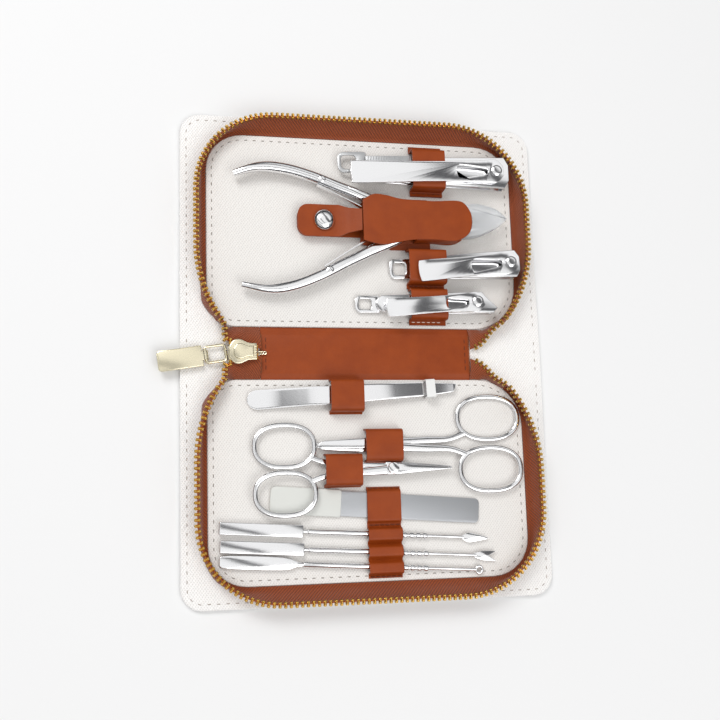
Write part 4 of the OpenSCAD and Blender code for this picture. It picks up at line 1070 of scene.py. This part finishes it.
def dressTweezers():
    t = tweezers
    outline = arc(4.1, 0, 4.1, 90, 270, 20) + t["edge"]
    bm = bmesh.new()
    plate(bm, outline, t["low"], t["low"] + t["thick"], 0.25, 3)
    dress(bm, "tweezers_lower_arm", chrome, "base", t)
    bm = bmesh.new()
    rows = []
    for x in [0.05, 0.3, 0.8, 1.5, 2.5, 4] + [4 + 3.5 * i for i in range(1, 25)] + [89.9, 91.4]:
        y0, y1 = acrossAt(outline, x)
        z = t["springs"] + sum(heightAt(t["path"], x + dx) for dx in (-1.2, 0, 1.2)) / 3
        rows.append([(x, y, z) for y in between(y0, y1, 10)])
    sheet(bm, rows, t["thick"])
    rim = [e for e in bm.edges if e.is_manifold and e.calc_face_angle(0) > math.radians(50)]
    roundOff(bm, rim, 0.2, 2, True)
    dress(bm, "tweezers_upper_arm", chrome, "tweezers_upper", t)
    bm = bmesh.new()
    x0, x1 = t["sleeve"]
    h, z0, z1 = t["sleeveHalf"], t["low"] - 0.05, t["sleeveTop"]
    outer = [(h, z0), (h, z1 - 0.8), (h - 0.25, z1 - 0.25), (h - 0.8, z1)]
    inner = [(-h + 0.7, z0), (-h + 0.7, z1 - 1.2), (-h + 0.85, z1 - 0.8), (-h + 1.3, z1 - 0.6)]
    profile = outer + [(-y, z) for y, z in outer[::-1]] + inner + [(-y, z) for y, z in inner[::-1]]
    loft(bm, [[(x, y, z) for y, z in profile] for x in (x0, x0 + 0.2, x1 - 0.2, x1)])
    dress(bm, "tweezers_sleeve", sleevePlastic, "tweezers_sleeve", t)


# Nail file: a gritted steel blade in a plastic handle

nailFile = dict(
    at=(-43.6, -61.6), turn=-4.4, handle=(0, -5.7, 30, 5.7), handleLevels=(3.5, 4.9), blade=(24, -5.2, 90.5, 5.2),
    bladeLevels=(3.85, 4.55))


def dressFile():
    f = nailFile
    bm = bmesh.new()
    plate(bm, roundRect(*f["blade"], [0.5, 2, 2, 0.5]), *f["bladeLevels"], 0.12)
    dress(bm, "nail_file_blade", gritSteel, "nail_file", f)
    bm = bmesh.new()
    plate(bm, roundRect(*f["handle"], [2.4, 1, 1, 2.4]), *f["handleLevels"], 0.35, 3)
    dress(bm, "nail_file_handle", filePlastic, "nail_file", f)


dressTweezers()
dressFile()
print("tweezers and file ready")


# Double-ended tools: a square handle, a neck, a beaded shaft and a working tip

tools = dict(
    spear=dict(at=(-64.6, -72.6), end=104,
               tip=[(103, -0.6), (106, -2), (110, -1.4), (115, 0), (110, 1.4), (106, 2), (103, 0.6)]),
    fork=dict(at=(-64.4, -80), end=109,
              tip=[(108, -0.8), (112, -2), (118, -2.1), (114.6, 0), (118, 2.1), (112, 2), (108, 0.8)]),
    pusher=dict(at=(-64.6, -86), end=108.8,
                pad=[(0, -1.6), (4, -2.7), (26, -2.6), (32, -1), (34, -1), (34, 1), (32, 1), (26, 2.6), (4, 2.7),
                     (0, 1.6)]))
toolShape = dict(turn=-3.8, middle=4.8, handle=34.6, half=2.6, thick=1.3, padHalf=0.6, tipHalf=0.4, beads=4)


# Radius and place along the shaft, from the neck over the beads to the tip
def shaftProfile(start, end):
    profile = [(1.2, start), (1.2, 76)]
    for i in range(toolShape["beads"]):
        x = 77 + 2.9 * i
        profile += [(0.8, x - 0.1), (1.2, x + 0.1), (1.3, x + 0.5), (1.3, x + 1.4), (1.2, x + 1.8), (0.8, x + 2)]
    return profile + [(0.7, 88.2), (0.7, end), (0, end + 0.2)]


def dressTool(kind):
    t, g = tools[kind], toolShape
    z = g["middle"]
    bm = bmesh.new()
    if kind == "pusher":
        plate(bm, smoothLine(t["pad"], 3), z - g["padHalf"], z + g["padHalf"], 0.25, 3)
        neck, start = [(0, 32), (0.9, 32.1), (0.9, 34.6), (1.1, 34.7), (1.2, 35)], 35
        tube(bm, [(x, y, z) for x, y in arc(110.4, 0, 1.45, 0, 348, 29)], 0.55, 0.5, closed=True)
    else:
        bar = roundRect(0, -g["half"], g["handle"], g["half"], [0.5] * 4)
        plate(bm, bar, z - g["thick"], z + g["thick"], 0.35, 3)
        neck, start = [(0, 33.6), (0.9, 33.7), (0.9, 36.4), (1.15, 36.6), (1.2, 36.8)], 37
        plate(bm, smoothLine(t["tip"], 3) if kind == "spear" else t["tip"], z - g["tipHalf"], z + g["tipHalf"], 0.12)
    turned(bm, neck + shaftProfile(start, t["end"]), (0, 0, z), "X", 20)
    place(bm, bm.verts, *t["at"], g["turn"])
    dress(bm, kind + "_tool", chrome, kind)


for kind in tools:
    dressTool(kind)
print("tools ready")


# One strap over the tools and the file, stitched down between them

toolStrap = dict(
    x=(-2.6, 12), threads=(-94.6, -73.2, -57.8),
    line=[(-95.2, 3.8), (-93.9, 3.8), (-93.1, 6.8), (-89.1, 6.8), (-87.6, 4.3), (-86.1, 6.8),
          (-82.4, 6.8), (-80.9, 3.9), (-79.4, 6.8), (-74.9, 6.8), (-74, 3.8), (-72.4, 3.8),
          (-71.6, 5.4), (-59.1, 5.4), (-58.3, 3.8), (-57.3, 3.8)])


def dressStrap():
    s = toolStrap
    points = [Vector(p) for p in s["line"]]
    line = []
    for a, b in zip(points, points[1:]):
        steps = max(2, round((b - a).length / 0.5))
        line += [a.lerp(b, k / steps) for k in range(steps)]
    bm = bmesh.new()
    strapSheet(bm, smoothed(line + points[-1:], 2), s["x"])
    dress(bm, "tool_strap", brownLeather, "base", None, 60)
    bm = bmesh.new()
    for y in s["threads"]:
        threadRow(bm, s["x"], y)
    for s in loops[1:]:
        threadRow(bm, s["x"], (s["y"][0] + s["y"][1]) / 2)
    finishPiece("base_strap_stitches", bm, threadBrown, "base")


dressStrap()
print("tool strap ready")


# Camera at the photograph's angle, floor and soft light

view = dict(distance=0.436, tiltX=-9.3, tiltY=12.5, tiltZ=-0.3, shiftX=0.0026, shiftY=0.0022, lens=50)
lamps = dict(key=dict(at=(-0.5, 0.6, 0.9), size=0.5, power=5.5),
             fill=dict(at=(0.35, -0.65, 1.0), size=0.8, power=4.4))


def addCamera():
    v = view
    turn = Matrix.Identity(3)
    for axis in "ZYX":
        turn = turn @ Matrix.Rotation(math.radians(v["tilt" + axis]), 3, axis)
    back = turn.transposed()
    data = bpy.data.cameras.new("camera")
    data.lens, data.sensor_width = v["lens"], 36
    data.clip_start, data.clip_end = 0.01, 20
    camera = addObject("camera", data)
    spot = back @ Vector((-v["shiftX"], -v["shiftY"], v["distance"]))
    camera.matrix_world = Matrix.Translation(spot) @ back.to_4x4()
    bpy.context.scene.camera = camera


# Matt white paper sweep; the camera sees it near white and it keeps the shadow
def addFloor():
    bm = bmesh.new()
    bmesh.ops.create_grid(bm, x_segments=1, y_segments=1, size=3)
    bmesh.ops.translate(bm, verts=bm.verts, vec=(0, 0, -0.0002))
    mesh = toMesh("floor", bm)
    mesh.materials.append(newMaterial("white_paper_sweep", "EAEAEA", 0.9)[0])
    floor = addObject("floor", mesh)
    floor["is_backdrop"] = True


def addLight(name, at, size, power):
    data = bpy.data.lights.new(name, "AREA")
    data.size, data.energy = size, power
    aim = (-Vector(at)).to_track_quat("-Z", "Y")
    addObject(name, data).matrix_world = Matrix.Translation(at) @ aim.to_matrix().to_4x4()


# Two greys at two places of a ramp
def addRamp(tree, source, *stops):
    ramp = addNode(tree, "ShaderNodeValToRGB", {}, {0: source})
    for element, (position, grey, blue) in zip(ramp.color_ramp.elements, stops):
        element.position, element.color = position, (grey, grey, blue, 1)
    return ramp.outputs["Color"]


# Plain bright room for matt surfaces; polished ones also see dark flags between the lamps
def addWorld():
    world = bpy.data.worlds.new("studio")
    bpy.context.scene.world = world
    world.use_nodes = True
    tree = world.node_tree
    way = addNode(tree, "ShaderNodeTexCoord").outputs["Generated"]
    up = addNode(tree, "ShaderNodeSeparateXYZ", {}, {0: way}).outputs["Z"]
    wave = addNode(tree, "ShaderNodeTexWave", {"bands_direction": "DIAGONAL", "Scale": 1.15, "Distortion": 3.0,
                   "Detail": 1.0, "Detail Scale": 1.3, "Phase Offset": 2.2}, {"Vector": way})
    room = addRamp(tree, up, (0.1, 0.3, 0.31), (0.75, 0.95, 0.95))
    flags = addRamp(tree, wave.outputs["Fac"], (0.05, 0.12, 0.125), (0.24, 1.25, 1.25))
    horizon = addRamp(tree, up, (0.44, 0.1, 0.105), (0.76, 1, 1))
    studio = addNode(tree, "ShaderNodeMix", {"data_type": "RGBA", "blend_type": "MULTIPLY", 0: 1.0},
                     {6: flags, 7: horizon})
    polished = addNode(tree, "ShaderNodeLightPath").outputs["Is Glossy Ray"]
    seen = addNode(tree, "ShaderNodeMix", {"data_type": "RGBA"}, {0: polished, 6: room, 7: studio.outputs[2]})
    background = tree.nodes["Background"]
    tree.links.new(background.inputs["Color"], seen.outputs[2])
    background.inputs["Strength"].default_value = 0.8


addCamera()
addFloor()
addWorld()
for name, lamp in lamps.items():
    addLight(name, **lamp)
bpy.context.scene.view_settings.view_transform = "Standard"

low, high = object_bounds()
print("scene ready")
